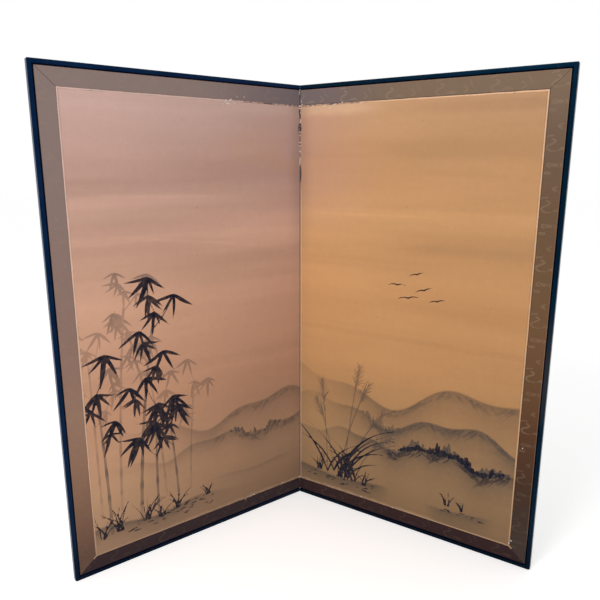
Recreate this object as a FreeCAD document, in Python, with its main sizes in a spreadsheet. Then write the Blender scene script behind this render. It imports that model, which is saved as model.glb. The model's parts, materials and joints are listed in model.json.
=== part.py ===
import FreeCAD, Part
import math
import os

import Sketcher

# A two-panel folding screen (byobu), standing in a V that opens towards -Y.
# Each panel is a softwood lattice under pasted paper, faced with painting silk inside a
# brocade border, and framed with lacquered wood on its top, outer and bottom edges.
# The panels hang together by seven paper wings that cross the fold alternately.
#
# Each panel is drawn flat, in its own coordinates: u runs from the fold to the outer
# edge, depth runs from the front fold line to the back, and height runs up from the
# floor. Its placement then turns it about the front fold line.

SIZES = {
    # the whole panel
    "panel_height": 1700.0,
    "panel_width": 970.0,
    "opening_angle": 110.0,
    # lacquered frame
    "frame_face": 18.0,
    "frame_proud": 1.2,
    "frame_edge_round": 1.5,
    # layers of a panel, from front to back
    "face_thick": 0.5,
    "strip_thick": 0.8,
    "under_paper_thick": 1.0,
    "core_thick": 14.0,
    "back_paper_thick": 0.4,
    # brocade border and edging strip
    "border_top": 55.0,
    "border_outer": 57.0,
    "border_bottom": 49.0,
    "strip_wide": 5.0,
    # lattice of the core
    "stile_wide": 24.0,
    "rib_wide": 12.0,
    "tenon_long": 6.0,
    "tenon_thick": 5.0,
    # hidden nails of the frame
    "nail_diameter": 1.8,
    "nail_long": 16.0,
    "nail_hole_gap": 0.05,
    # paper hinge
    "fold_clearance": 0.25,
    "wing_thick": 0.4,
    "wing_side_gap": 0.2,
    "wing_end_gap": 1.0,
    "flap_wide": 45.0,
    "flap_thick": 0.3,
    "edge_paper_thick": 0.3,
}

WING_COUNT = 7
UPRIGHT_RIB_COUNT = 5
CROSS_RIB_COUNT = 10
OUTER_NAIL_COUNT = 6
RAIL_NAIL_COUNT = 4

SIDES = {"left": -1, "right": 1}

doc = FreeCAD.newDocument("FoldingScreen")


# Sheet of driving sizes

def make_sheet():
    sheet = doc.addObject("Spreadsheet::Sheet", "Sizes")
    for row, (word, value) in enumerate(SIZES.items(), start=1):
        sheet.set(f"A{row}", word)
        sheet.set(f"B{row}", str(value))
        sheet.setAlias(f"B{row}", word)
    doc.recompute()


def size(word):
    return f"Sizes.{word}"


def plus(*terms):
    return "(" + " + ".join(terms) + ")"


def minus(first, *rest):
    return "(" + " - ".join((first,) + rest) + ")"


def times(factor, term):
    return f"({factor} * {term})"


def mirrored(side, term):
    """An expression along u, turned to the panel's own side of the fold."""
    return term if SIDES[side] > 0 else f"(-{term})"


# Places across a panel's depth, counted from the front fold line

FRAME_FRONT = size("fold_clearance")
FACE_FRONT = plus(FRAME_FRONT, size("frame_proud"))
UNDER_FRONT = plus(FACE_FRONT, size("face_thick"))
STRIP_FRONT = minus(UNDER_FRONT, size("strip_thick"))
CORE_FRONT = plus(UNDER_FRONT, size("under_paper_thick"))
CORE_MIDDLE = plus(CORE_FRONT, times(0.5, size("core_thick")))
CORE_BACK = plus(CORE_FRONT, size("core_thick"))
UNDER_BACK = plus(CORE_BACK, size("under_paper_thick"))
FACE_BACK = plus(UNDER_BACK, size("back_paper_thick"))
FRAME_BACK = plus(FACE_BACK, size("frame_proud"))
PANEL_MIDDLE = times(0.5, plus(FRAME_FRONT, FRAME_BACK))

# Places along u, counted from the fold

PANEL_EDGE = plus(times(0.5, size("wing_thick")), size("wing_side_gap"))
STILE_START = plus(PANEL_EDGE, size("edge_paper_thick"))
STILE_END = plus(STILE_START, size("stile_wide"))
OUTER_EDGE = size("panel_width")
COVER_END = minus(OUTER_EDGE, size("frame_face"))
OUTER_STILE_START = minus(COVER_END, size("stile_wide"))
STRIP_OUTER_END = minus(COVER_END, size("border_outer"))
PAINTING_END = minus(STRIP_OUTER_END, size("strip_wide"))
FLAP_END = plus(PANEL_EDGE, size("flap_wide"))

# Places along the height, counted from the floor

FLOOR = "0"
TOP = size("panel_height")
COVER_LOW = size("frame_face")
COVER_HIGH = minus(TOP, size("frame_face"))
STRIP_LOW = plus(COVER_LOW, size("border_bottom"))
STRIP_HIGH = minus(COVER_HIGH, size("border_top"))
PAINTING_LOW = plus(STRIP_LOW, size("strip_wide"))
PAINTING_HIGH = minus(STRIP_HIGH, size("strip_wide"))
RAIL_LOW_TOP = plus(COVER_LOW, size("stile_wide"))
RAIL_HIGH_BOTTOM = minus(COVER_HIGH, size("stile_wide"))

# Height of one wing of the hinge, and the step from one wing to the next

COVER_HEIGHT = minus(COVER_HIGH, COVER_LOW)
WING_PITCH = f"({plus(COVER_HEIGHT, size('wing_end_gap'))} / {WING_COUNT})"
WING_HEIGHT = minus(WING_PITCH, size("wing_end_gap"))

# Turn of a panel about the front fold line, and the place of that line.
# The origin is the middle of the screen's footprint, so the fold line stands behind it.

RIGHT_ANGLE = "90"
PANEL_TURN = minus(RIGHT_ANGLE, times(0.5, size("opening_angle")))
TURN_SINE = f"sin({PANEL_TURN} * 1deg)"
TURN_COSINE = f"cos({PANEL_TURN} * 1deg)"
BACK_REACH = minus(f"{FRAME_BACK} * {TURN_COSINE}", f"{PANEL_EDGE} * {TURN_SINE}")
ROUND_CENTRE_U = minus(OUTER_EDGE, size("frame_edge_round"))
ROUND_CENTRE_DEPTH = plus(FRAME_FRONT, size("frame_edge_round"))
FRONT_REACH = minus(
    f"{ROUND_CENTRE_DEPTH} * {TURN_COSINE}",
    f"{ROUND_CENTRE_U} * {TURN_SINE}",
    size("frame_edge_round"),
)
FOLD_Y = times(-0.5, plus(BACK_REACH, FRONT_REACH))

sub_parts = {}


def place_on_panel(item, side):
    """Turn a finished piece about the front fold line into the standing V."""
    item.Placement = FreeCAD.Placement(FreeCAD.Vector(), FreeCAD.Rotation(FreeCAD.Vector(0, 0, 1), 0))
    item.setExpression("Placement.Base.y", FOLD_Y)
    turn = PANEL_TURN if SIDES[side] < 0 else f"(-{PANEL_TURN})"
    item.setExpression("Placement.Rotation.Angle", f"{turn} * 1deg")


def keep(item, side, name):
    item.Label = name
    place_on_panel(item, side)
    sub_parts[name] = item
    return item


# Shapes drawn in a panel's own flat coordinates

def origin_plane(body, role):
    for feature in body.Origin.OriginFeatures:
        if feature.Role == role:
            return feature
    raise RuntimeError(f"no {role}")


def corner_sketch(body, name, plane, corners):
    """A closed outline through corners, each given as two expressions on the plane."""
    sketch = body.newObject("Sketcher::SketchObject", name)
    sketch.AttachmentSupport = [(origin_plane(body, plane), "")]
    sketch.MapMode = "FlatFace"
    # the lines start as a regular outline, and the bound distances then pull each corner home
    count = len(corners)
    turns = [2 * math.pi * index / count for index in range(count)]
    starts = [FreeCAD.Vector(math.cos(turn), math.sin(turn), 0) for turn in turns]
    for index in range(count):
        sketch.addGeometry(Part.LineSegment(starts[index], starts[(index + 1) % count]), False)
    for index in range(count):
        sketch.addConstraint(Sketcher.Constraint("Coincident", index, 2, (index + 1) % count, 1))
    for index, (across, up) in enumerate(corners):
        start = starts[index]
        for axis, expression, place in (("DistanceX", across, start.x), ("DistanceY", up, start.y)):
            number = sketch.addConstraint(Sketcher.Constraint(axis, -1, 1, index, 1, place))
            sketch.setExpression(f"Constraints[{number}]", expression)
    return sketch


def front_view_pad(body, name, side, corners, depth_start, thickness):
    """A flat piece: an outline in u and height, thickened from depth_start backwards."""
    placed = [(mirrored(side, u), height) for u, height in corners]
    sketch = corner_sketch(body, f"{name}_outline", "XZ_Plane", placed)
    sketch.AttachmentOffset = FreeCAD.Placement(FreeCAD.Vector(), FreeCAD.Rotation())
    sketch.setExpression("AttachmentOffset.Base.z", f"-{depth_start}")
    pad = body.newObject("PartDesign::Pad", f"{name}_pad")
    pad.Profile = sketch
    pad.Reversed = True
    pad.setExpression("Length", thickness)
    sketch.Visibility = False
    return pad


def rectangle(u_start, u_end, low, high):
    return [(u_start, low), (u_end, low), (u_end, high), (u_start, high)]


def sheet_piece(name, side, corners, depth_start, thickness):
    body = doc.addObject("PartDesign::Body", name)
    body.Tip = front_view_pad(body, name, side, corners, depth_start, thickness)
    return keep(body, side, name)


def stick(name, side, u_start, u_end, depth_start, depth_end, low, high):
    """A squared stick or block as a primitive, at rest in the flat panel."""
    block = doc.addObject("Part::Box", name)
    block.setExpression("Length", minus(u_end, u_start))
    block.setExpression("Width", minus(depth_end, depth_start))
    block.setExpression("Height", minus(high, low))
    block.setExpression("Placement.Base.x", u_start if SIDES[side] > 0 else f"(-{u_end})")
    block.setExpression("Placement.Base.y", depth_start)
    block.setExpression("Placement.Base.z", low)
    return block


def joined(name, pieces):
    """Several shapes as one object; pieces that don't touch stay separate solids."""
    union = doc.addObject("Part::MultiFuse", name)
    union.Shapes = pieces
    return union


def cut_from(name, base, tools):
    result = doc.addObject("Part::Cut", name)
    result.Base = base
    result.Tool = tools[0] if len(tools) == 1 else joined(f"{name}_tools", tools)
    return result


# Hidden nails, half in the frame and half in the lattice

def nail_shapes(name, side, run, places, extra):
    """Nails or their holes: run is outer, top or bottom, extra is added to the radius."""
    nails = []
    for index, place in enumerate(places):
        nail = doc.addObject("Part::Cylinder", f"{name}_{index + 1}")
        nail.setExpression("Radius", plus(times(0.5, size("nail_diameter")), extra))
        nail.setExpression("Height", size("nail_long"))
        half = times(0.5, size("nail_long"))
        if run == "outer":
            nail.Placement = FreeCAD.Placement(
                FreeCAD.Vector(), FreeCAD.Rotation(FreeCAD.Vector(0, 1, 0), 90)
            )
            start = minus(COVER_END, half) if SIDES[side] > 0 else f"(-{plus(COVER_END, half)})"
            nail.setExpression("Placement.Base.x", start)
            nail.setExpression("Placement.Base.z", place)
        else:
            seam = COVER_HIGH if run == "top" else COVER_LOW
            nail.setExpression("Placement.Base.x", mirrored(side, place))
            nail.setExpression("Placement.Base.z", minus(seam, half))
        nail.setExpression("Placement.Base.y", PANEL_MIDDLE)
        nails.append(nail)
    return nails


def spaced(start, end, count):
    """Middles of equal steps between two places."""
    step = f"({minus(end, start)} / {count})"
    return [plus(start, times(index + 0.5, step)) for index in range(count)]


def nails_and_holes(side):
    runs = {
        "outer": spaced(COVER_LOW, COVER_HIGH, OUTER_NAIL_COUNT),
        "top": spaced(STILE_START, COVER_END, RAIL_NAIL_COUNT),
        "bottom": spaced(STILE_START, COVER_END, RAIL_NAIL_COUNT),
    }
    nails = []
    holes = {}
    for run, places in runs.items():
        nails += nail_shapes(f"{side}_{run}_nail", side, run, places, "0")
        holes[run] = nail_shapes(f"{side}_{run}_nail_hole", side, run, places, size("nail_hole_gap"))
    keep(joined(f"{side}_frame_nails", nails), side, f"{side}_frame_nails")
    return holes


# Lacquered frame: rounded sticks, sawn to a mitre at the outer corners

def long_edges(shape, axis, reach, near):
    """Names of the edges that run along axis, as long as reach, where near says so."""
    names = []
    for index, edge in enumerate(shape.Edges):
        box = edge.BoundBox
        length = {"x": box.XLength, "y": box.YLength, "z": box.ZLength}[axis]
        if math.isclose(length, reach, rel_tol=1e-6) and near(box.Center):
            names.append(f"Edge{index + 1}")
    return names


def frame_member(side, run, holes):
    name = f"{side}_frame_{run}"
    body = doc.addObject("PartDesign::Body", f"{name}_stick")
    upright = run == "outer"
    if upright:
        corners = [
            (mirrored(side, COVER_END), FRAME_FRONT),
            (mirrored(side, OUTER_EDGE), FRAME_FRONT),
            (mirrored(side, OUTER_EDGE), FRAME_BACK),
            (mirrored(side, COVER_END), FRAME_BACK),
        ]
        section = corner_sketch(body, f"{name}_section", "XY_Plane", corners)
        length = TOP
    else:
        low, high = (COVER_HIGH, TOP) if run == "top" else (FLOOR, COVER_LOW)
        corners = [(FRAME_FRONT, low), (FRAME_BACK, low), (FRAME_BACK, high), (FRAME_FRONT, high)]
        section = corner_sketch(body, f"{name}_section", "YZ_Plane", corners)
        section.AttachmentOffset = FreeCAD.Placement(FreeCAD.Vector(), FreeCAD.Rotation())
        section.setExpression("AttachmentOffset.Base.z", mirrored(side, PANEL_EDGE))
        length = minus(OUTER_EDGE, PANEL_EDGE)
    pad = body.newObject("PartDesign::Pad", f"{name}_pad")
    pad.Profile = section
    pad.Reversed = (not upright) and SIDES[side] < 0
    pad.setExpression("Length", length)
    doc.recompute()

    # the two long outer edges are eased
    box = pad.Shape.BoundBox
    if upright:
        outer = box.XMax if SIDES[side] > 0 else box.XMin
        names = long_edges(pad.Shape, "z", box.ZLength, lambda place: math.isclose(place.x, outer))
    elif run == "top":
        names = long_edges(pad.Shape, "x", box.XLength, lambda place: math.isclose(place.z, box.ZMax))
    else:
        names = long_edges(
            pad.Shape, "x", box.XLength, lambda place: math.isclose(place.z, box.ZMin, abs_tol=1e-6)
        )
    if len(names) != 2:
        raise RuntimeError(f"{name} should have two outer edges, found {names}")
    eased = body.newObject("PartDesign::Fillet", f"{name}_eased")
    eased.Base = (pad, names)
    eased.setExpression("Radius", size("frame_edge_round"))
    doc.recompute()

    # mitre at each outer corner, the same plane for both members that meet there
    inner_corners = {"bottom": (COVER_LOW, FLOOR), "top": (COVER_HIGH, TOP)}
    tip = eased
    for end, (inner, outer_level) in inner_corners.items():
        if upright:
            triangle = [(COVER_END, inner), (COVER_END, outer_level), (OUTER_EDGE, outer_level)]
        elif end == run:
            triangle = [(COVER_END, inner), (OUTER_EDGE, outer_level), (OUTER_EDGE, inner)]
        else:
            continue
        placed = [(mirrored(side, u), height) for u, height in triangle]
        sketch = corner_sketch(body, f"{name}_{end}_mitre_outline", "XZ_Plane", placed)
        volume = tip.Shape.Volume
        mitre = body.newObject("PartDesign::Pocket", f"{name}_{end}_mitre")
        mitre.Profile = sketch
        mitre.Type = "ThroughAll"
        mitre.Midplane = True
        doc.recompute()
        if mitre.Shape.Volume >= volume:
            raise RuntimeError(f"{name} mitre cuts nothing")
        tip = mitre
    body.Tip = tip
    return keep(cut_from(name, body, holes[run]), side, name)


# Lattice of the core: two stiles and two rails, half-lapped, with tenoned ribs inside

def core_lattice(side, holes):
    def block(name, u_start, u_end, depth_start, depth_end, low, high):
        return stick(f"{side}_{name}", side, u_start, u_end, depth_start, depth_end, low, high)

    upright_places = spaced(STILE_END, OUTER_STILE_START, UPRIGHT_RIB_COUNT)
    cross_places = spaced(RAIL_LOW_TOP, RAIL_HIGH_BOTTOM, CROSS_RIB_COUNT)
    half_rib = times(0.5, size("rib_wide"))
    half_tenon = times(0.5, size("tenon_thick"))
    tenon_front = minus(CORE_MIDDLE, half_tenon)
    tenon_back = plus(CORE_MIDDLE, half_tenon)

    # upright ribs keep the back half where the cross ribs pass in front of them
    upright_ribs = []
    upright_tenons = []
    for index, place in enumerate(upright_places, start=1):
        start, end = minus(place, half_rib), plus(place, half_rib)
        upright_ribs.append(
            block(f"upright_rib_{index}", start, end, CORE_FRONT, CORE_BACK, RAIL_LOW_TOP, RAIL_HIGH_BOTTOM)
        )
        upright_tenons.append(
            block(
                f"upright_tenon_{index}", start, end, tenon_front, tenon_back,
                minus(RAIL_LOW_TOP, size("tenon_long")), plus(RAIL_HIGH_BOTTOM, size("tenon_long")),
            )
        )
    upright_laps = [
        block(
            f"upright_lap_{index}", STILE_END, OUTER_STILE_START, CORE_FRONT, CORE_MIDDLE,
            minus(place, half_rib), plus(place, half_rib),
        )
        for index, place in enumerate(cross_places, start=1)
    ]
    uprights = joined(f"{side}_upright_rib_sticks", upright_ribs + upright_tenons)
    name = f"{side}_core_upright_ribs"
    keep(cut_from(name, uprights, upright_laps), side, name)

    cross_ribs = []
    cross_tenons = []
    for index, place in enumerate(cross_places, start=1):
        low, high = minus(place, half_rib), plus(place, half_rib)
        cross_ribs.append(
            block(f"cross_rib_{index}", STILE_END, OUTER_STILE_START, CORE_FRONT, CORE_BACK, low, high)
        )
        cross_tenons.append(
            block(
                f"cross_tenon_{index}",
                minus(STILE_END, size("tenon_long")), plus(OUTER_STILE_START, size("tenon_long")),
                tenon_front, tenon_back, low, high,
            )
        )
    cross_laps = [
        block(
            f"cross_lap_{index}", minus(place, half_rib), plus(place, half_rib),
            CORE_MIDDLE, CORE_BACK, RAIL_LOW_TOP, RAIL_HIGH_BOTTOM,
        )
        for index, place in enumerate(upright_places, start=1)
    ]
    crosses = joined(f"{side}_cross_rib_sticks", cross_ribs + cross_tenons)
    name = f"{side}_core_cross_ribs"
    keep(cut_from(name, crosses, cross_laps), side, name)

    # rails keep the front half at the corners, stiles keep the back half
    stile_spans = {"hinge_stile": (STILE_START, STILE_END), "outer_stile": (OUTER_STILE_START, COVER_END)}
    rail_spans = {"bottom_rail": (COVER_LOW, RAIL_LOW_TOP), "top_rail": (RAIL_HIGH_BOTTOM, COVER_HIGH)}
    rail_halves = {
        rail: block(f"{rail}_half", STILE_START, COVER_END, CORE_FRONT, CORE_MIDDLE, low, high)
        for rail, (low, high) in rail_spans.items()
    }
    stile_halves = {
        stile: block(f"{stile}_half", start, end, CORE_MIDDLE, CORE_BACK, COVER_LOW, COVER_HIGH)
        for stile, (start, end) in stile_spans.items()
    }
    for stile, (start, end) in stile_spans.items():
        name = f"{side}_core_{stile}"
        whole = block(f"{stile}_stick", start, end, CORE_FRONT, CORE_BACK, COVER_LOW, COVER_HIGH)
        tools = list(rail_halves.values()) + cross_tenons
        if stile == "outer_stile":
            tools += holes["outer"]
        keep(cut_from(name, whole, tools), side, name)
    for rail, (low, high) in rail_spans.items():
        name = f"{side}_core_{rail}"
        whole = block(f"{rail}_stick", STILE_START, COVER_END, CORE_FRONT, CORE_BACK, low, high)
        run = "top" if rail == "top_rail" else "bottom"
        keep(cut_from(name, whole, list(stile_halves.values()) + upright_tenons + holes[run]), side, name)


# Under-papers, with shallow seats for the flaps of the hinge's wings

def wing_low(index):
    return plus(COVER_LOW, times(index, WING_PITCH))


def wing_high(index):
    return plus(wing_low(index), WING_HEIGHT)


def flap_indexes(side, face):
    """Wings 0, 2, 4, 6 go from the left front to the right back, the others cross them."""
    first = 0 if (side, face) in (("left", "front"), ("right", "back")) else 1
    return list(range(first, WING_COUNT, 2))


def under_paper(side, face):
    name = f"{side}_{face}_under_paper"
    body = doc.addObject("PartDesign::Body", name)
    depth_start = UNDER_FRONT if face == "front" else CORE_BACK
    outline = rectangle(PANEL_EDGE, COVER_END, COVER_LOW, COVER_HIGH)
    pad = front_view_pad(body, name, side, outline, depth_start, size("under_paper_thick"))
    doc.recompute()

    wings = flap_indexes(side, face)
    seat_depth = UNDER_FRONT if face == "front" else minus(UNDER_BACK, size("flap_thick"))
    corners = rectangle(PANEL_EDGE, FLAP_END, wing_low(wings[0]), wing_high(wings[0]))
    placed = [(mirrored(side, u), height) for u, height in corners]
    sketch = corner_sketch(body, f"{name}_seat_outline", "XZ_Plane", placed)
    sketch.AttachmentOffset = FreeCAD.Placement(FreeCAD.Vector(), FreeCAD.Rotation())
    sketch.setExpression("AttachmentOffset.Base.z", f"-{seat_depth}")
    seat = body.newObject("PartDesign::Pocket", f"{name}_seat")
    seat.Profile = sketch
    seat.setExpression("Length", size("flap_thick"))
    doc.recompute()
    one_seat = pad.Shape.Volume - seat.Shape.Volume
    if one_seat <= 0:
        raise RuntimeError(f"{name} seat cuts nothing")

    row = body.newObject("PartDesign::LinearPattern", f"{name}_seats")
    row.Originals = [seat]
    row.Direction = (origin_plane(body, "Z_Axis"), [""])
    row.Occurrences = len(wings)
    row.setExpression("Length", times(2 * (len(wings) - 1), WING_PITCH))
    body.Tip = row
    doc.recompute()
    if not math.isclose(pad.Shape.Volume - row.Shape.Volume, one_seat * len(wings), rel_tol=1e-6):
        raise RuntimeError(f"{name} should have {len(wings)} seats")
    return keep(body, side, name)


def flaps(side, face):
    name = f"{side}_{face}_flaps"
    depth_start = UNDER_FRONT if face == "front" else minus(UNDER_BACK, size("flap_thick"))
    depth_end = plus(depth_start, size("flap_thick"))
    pieces = [
        stick(f"{name}_{index + 1}", side, PANEL_EDGE, FLAP_END, depth_start, depth_end,
              wing_low(index), wing_high(index))
        for index in flap_indexes(side, face)
    ]
    return keep(joined(name, pieces), side, name)


# Wings of the paper hinge, where they pass through the fold

def wing_web(index):
    side = "right" if index % 2 == 0 else "left"
    half = times(0.5, size("wing_thick"))
    corners = rectangle(f"(-{half})", half, wing_low(index), wing_high(index))
    return sheet_piece(f"hinge_wing_{index + 1}", side, corners, FACE_FRONT, minus(FACE_BACK, FACE_FRONT))


# Cover of a panel: painting silk, edging strips, brocade border and back paper

def cover(side):
    sheet_piece(
        f"{side}_painting_silk", side,
        rectangle(PANEL_EDGE, PAINTING_END, PAINTING_LOW, PAINTING_HIGH), FACE_FRONT, size("face_thick"),
    )
    bands = {
        "edging_strip": (
            STRIP_FRONT, size("strip_thick"),
            (STRIP_OUTER_END, STRIP_LOW, STRIP_HIGH), (PAINTING_END, PAINTING_LOW, PAINTING_HIGH),
        ),
        "border": (
            FACE_FRONT, size("face_thick"),
            (COVER_END, COVER_LOW, COVER_HIGH), (STRIP_OUTER_END, STRIP_LOW, STRIP_HIGH),
        ),
    }
    for kind, (depth_start, thickness, around, inside) in bands.items():
        u_out, low_out, high_out = around
        u_in, low_in, high_in = inside
        outlines = {
            "top": [(PANEL_EDGE, high_in), (u_in, high_in), (u_out, high_out), (PANEL_EDGE, high_out)],
            "outer": [(u_in, low_in), (u_out, low_out), (u_out, high_out), (u_in, high_in)],
            "bottom": [(PANEL_EDGE, low_out), (u_out, low_out), (u_in, low_in), (PANEL_EDGE, low_in)],
        }
        for run, outline in outlines.items():
            sheet_piece(f"{side}_{kind}_{run}", side, outline, depth_start, thickness)
    sheet_piece(
        f"{side}_back_paper", side,
        rectangle(PANEL_EDGE, COVER_END, COVER_LOW, COVER_HIGH), UNDER_BACK, size("back_paper_thick"),
    )
    sheet_piece(
        f"{side}_hinge_edge_paper", side,
        rectangle(PANEL_EDGE, STILE_START, COVER_LOW, COVER_HIGH), CORE_FRONT, size("core_thick"),
    )


# The whole screen

def build_screen():
    make_sheet()
    for side in SIDES:
        holes = nails_and_holes(side)
        for run in ("top", "outer", "bottom"):
            frame_member(side, run, holes)
        core_lattice(side, holes)
        for face in ("front", "back"):
            under_paper(side, face)
            flaps(side, face)
        cover(side)
    for index in range(WING_COUNT):
        wing_web(index)
    doc.recompute()


def check_screen():
    for item in doc.Objects:
        if "Invalid" in item.State or "Error" in item.State:
            raise RuntimeError(f"{item.Name} failed: {item.State}")
    for name, item in sub_parts.items():
        shape = item.Shape
        if shape.isNull() or not shape.isValid() or not shape.Solids:
            raise RuntimeError(f"{name} has no valid solid")


def write_parts():
    os.makedirs("parts", exist_ok=True)
    for name, item in sub_parts.items():
        item.Shape.exportStep(f"parts/{name}.step")


build_screen()
check_screen()
write_parts()
print(len(sub_parts), "parts,", sum(len(item.Shape.Solids) for item in sub_parts.values()), "solids")
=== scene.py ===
"""The looks of a two-panel folding screen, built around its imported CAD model. Lengths are in metres."""

import json
import math

import bmesh
import bpy
import numpy as np
from mathutils import Matrix, Vector


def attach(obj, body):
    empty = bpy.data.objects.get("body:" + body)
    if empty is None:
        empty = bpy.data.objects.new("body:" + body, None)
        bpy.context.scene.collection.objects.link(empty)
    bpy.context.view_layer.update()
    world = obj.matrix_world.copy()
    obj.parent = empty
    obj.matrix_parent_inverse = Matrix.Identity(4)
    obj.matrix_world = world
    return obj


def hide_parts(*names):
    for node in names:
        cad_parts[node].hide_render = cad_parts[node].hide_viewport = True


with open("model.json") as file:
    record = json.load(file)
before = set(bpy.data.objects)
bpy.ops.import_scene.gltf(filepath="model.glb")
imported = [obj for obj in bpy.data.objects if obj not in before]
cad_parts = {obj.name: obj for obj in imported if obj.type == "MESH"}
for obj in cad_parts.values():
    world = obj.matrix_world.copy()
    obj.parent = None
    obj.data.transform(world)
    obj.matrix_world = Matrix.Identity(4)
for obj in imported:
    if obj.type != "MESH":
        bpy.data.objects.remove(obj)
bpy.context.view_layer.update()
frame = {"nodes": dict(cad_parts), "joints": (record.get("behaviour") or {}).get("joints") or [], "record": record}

MM = 0.001


# Panel coordinates: u runs from the fold outwards, depth from the fold's front line backwards, z up

SIDES = {"left": -1, "right": 1}
JOINTS = {joint["name"]: joint for joint in frame["joints"]}
FOLD_X, FOLD_Y, _ = JOINTS["front_fold"]["pos_m"]
OPENING_ANGLE = math.radians(JOINTS["front_fold"]["range_deg"][1])
TURN = (math.pi - OPENING_ANGLE) / 2
COS, SIN = math.cos(TURN), math.sin(TURN)


def to_world(side, local):
    """Points in panel coordinates as points in the row frame."""
    u, depth, z = np.asarray(local, float).T
    return np.stack([FOLD_X + SIDES[side] * (u * COS + depth * SIN), FOLD_Y + depth * COS - u * SIN, z], 1)


def local_box(node):
    """Lowest and highest corner of a CAD node in the coordinates of its own panel."""
    world = np.array([v.co for v in frame["nodes"][node].data.vertices], float)
    out, back = SIDES[node.split("_")[0]] * (world[:, 0] - FOLD_X), world[:, 1] - FOLD_Y
    local = np.stack([out * COS - back * SIN, out * SIN + back * COS, world[:, 2]], 1)
    return local.min(0), local.max(0)


SILK_LOW, SILK_HIGH = local_box("right_painting_silk")
FRAME_LOW, FRAME_HIGH = local_box("right_frame_outer")
BORDER_LOW, BORDER_HIGH = local_box("right_border_outer")
STRIP_LOW, STRIP_HIGH = local_box("right_edging_strip_outer")
PANEL_WIDTH, _, PANEL_HEIGHT = FRAME_HIGH
FRAME_FACE = PANEL_WIDTH - FRAME_LOW[0]


# Meshes

WELD = 0.005 * MM
SHARP_EDGE = math.radians(40)


def link(name, data):
    item = bpy.data.objects.new(name, data)
    bpy.context.scene.collection.objects.link(item)
    return item


def keep_at_points(mesh, name, values):
    """Keeps a number or a vector at each point of a mesh, for its material to read."""
    values = np.asarray(values, np.float32)
    kind, field = ("FLOAT_VECTOR", "vector") if values.ndim == 2 else ("FLOAT", "value")
    mesh.attributes.new(name, kind, "POINT").data.foreach_set(field, values.ravel())


def sheet_faces(across, along):
    """Quads of a sheet whose points lie row by row, with that many points across and rows along."""
    first = (np.arange(along - 1)[:, None] * across + np.arange(across - 1)).ravel()
    return np.stack([first, first + 1, first + across + 1, first + across], 1)


def tube_faces(ring, sections):
    """Quads and end faces of a closed tube, with that many points round and sections along."""
    faces = []
    for section in range(sections - 1):
        for point in range(ring):
            a, b = section * ring + point, section * ring + (point + 1) % ring
            faces.append((a, b, b + ring, a + ring))
    return faces + [tuple(range(ring)), tuple(range((sections - 1) * ring, sections * ring))]


def make_piece(name, side, local, faces, material, slot, replaces=(), closed=False, **kept):
    """A mesh in panel coordinates that rides on its panel and stands for CAD nodes."""
    mesh = bpy.data.meshes.new(name)
    if SIDES[side] < 0 and not closed:
        faces = faces[:, ::-1]
    mesh.from_pydata(to_world(side, local), [], faces)
    for attribute, values in {"place": local, **kept}.items():
        keep_at_points(mesh, attribute, values)
    if closed:
        shape = bmesh.new()
        shape.from_mesh(mesh)
        bmesh.ops.remove_doubles(shape, verts=shape.verts, dist=WELD)
        bmesh.ops.recalc_face_normals(shape, faces=shape.faces)
        shape.to_mesh(mesh)
        shape.free()
    mesh.materials.append(material)
    mesh.shade_smooth()
    if closed:
        mesh.set_sharp_from_angle(angle=SHARP_EDGE)
    item = link(name, mesh)
    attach(item, f"{side}_panel")
    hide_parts(*replaces)
    return item


def ripple(a, b, size, seed, count=9):
    """A smooth uneven surface of about unit height, with bumps of about that size."""
    draw = np.random.default_rng(seed)
    total = 0
    for _ in range(count):
        heading, phase = draw.uniform(0, 2 * math.pi, 2)
        pitch = size * draw.uniform(0.6, 1.7)
        along = a * math.cos(heading) + b * math.sin(heading)
        total = total + np.sin(along * 2 * math.pi / pitch + phase)
    return total / math.sqrt(count / 2)


def smooth(value, low, high):
    """0 at low and before it, 1 at high and past it, smooth between them."""
    share = np.clip((value - low) / (high - low), 0, 1)
    return share * share * (3 - 2 * share)


# Materials

def rgb(red, green, blue):
    """A colour on the 0 to 255 scale of a screen, as the linear colour that a shader takes."""
    parts = [part / 255 for part in (red, green, blue)]
    return (*[c / 12.92 if c <= 0.04045 else ((c + 0.055) / 1.055) ** 2.4 for c in parts], 1.0)


class Value:
    """What a node gives. Sums, products and fades of it add the nodes that work them out."""

    def __init__(self, graph, socket):
        self.graph, self.socket = graph, socket

    def __add__(self, other):
        return self.graph.math("ADD", self, other)

    def __sub__(self, other):
        return self.graph.math("SUBTRACT", self, other)

    def __rsub__(self, other):
        return self.graph.math("SUBTRACT", other, self)

    def __mul__(self, other):
        return self.graph.math("MULTIPLY", self, other)

    __radd__, __rmul__ = __add__, __mul__

    def fade(self, low, high, start=0.0, end=1.0):
        """start up to low, end from high on, and smooth between them."""
        inputs = enumerate((self, low, high, start, end))
        return self.graph.value("ShaderNodeMapRange", inputs, interpolation_type="SMOOTHSTEP")

    def fall(self, low, high, start=1.0):
        """start up to low, 0 from high on, and smooth between them."""
        return self.fade(low, high, start, 0.0)

    def band(self, middle, half, soft):
        """1 within half of the middle, fading to 0 over soft."""
        return self.graph.math("ABSOLUTE", self - middle).fall(half, half + soft)


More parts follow.
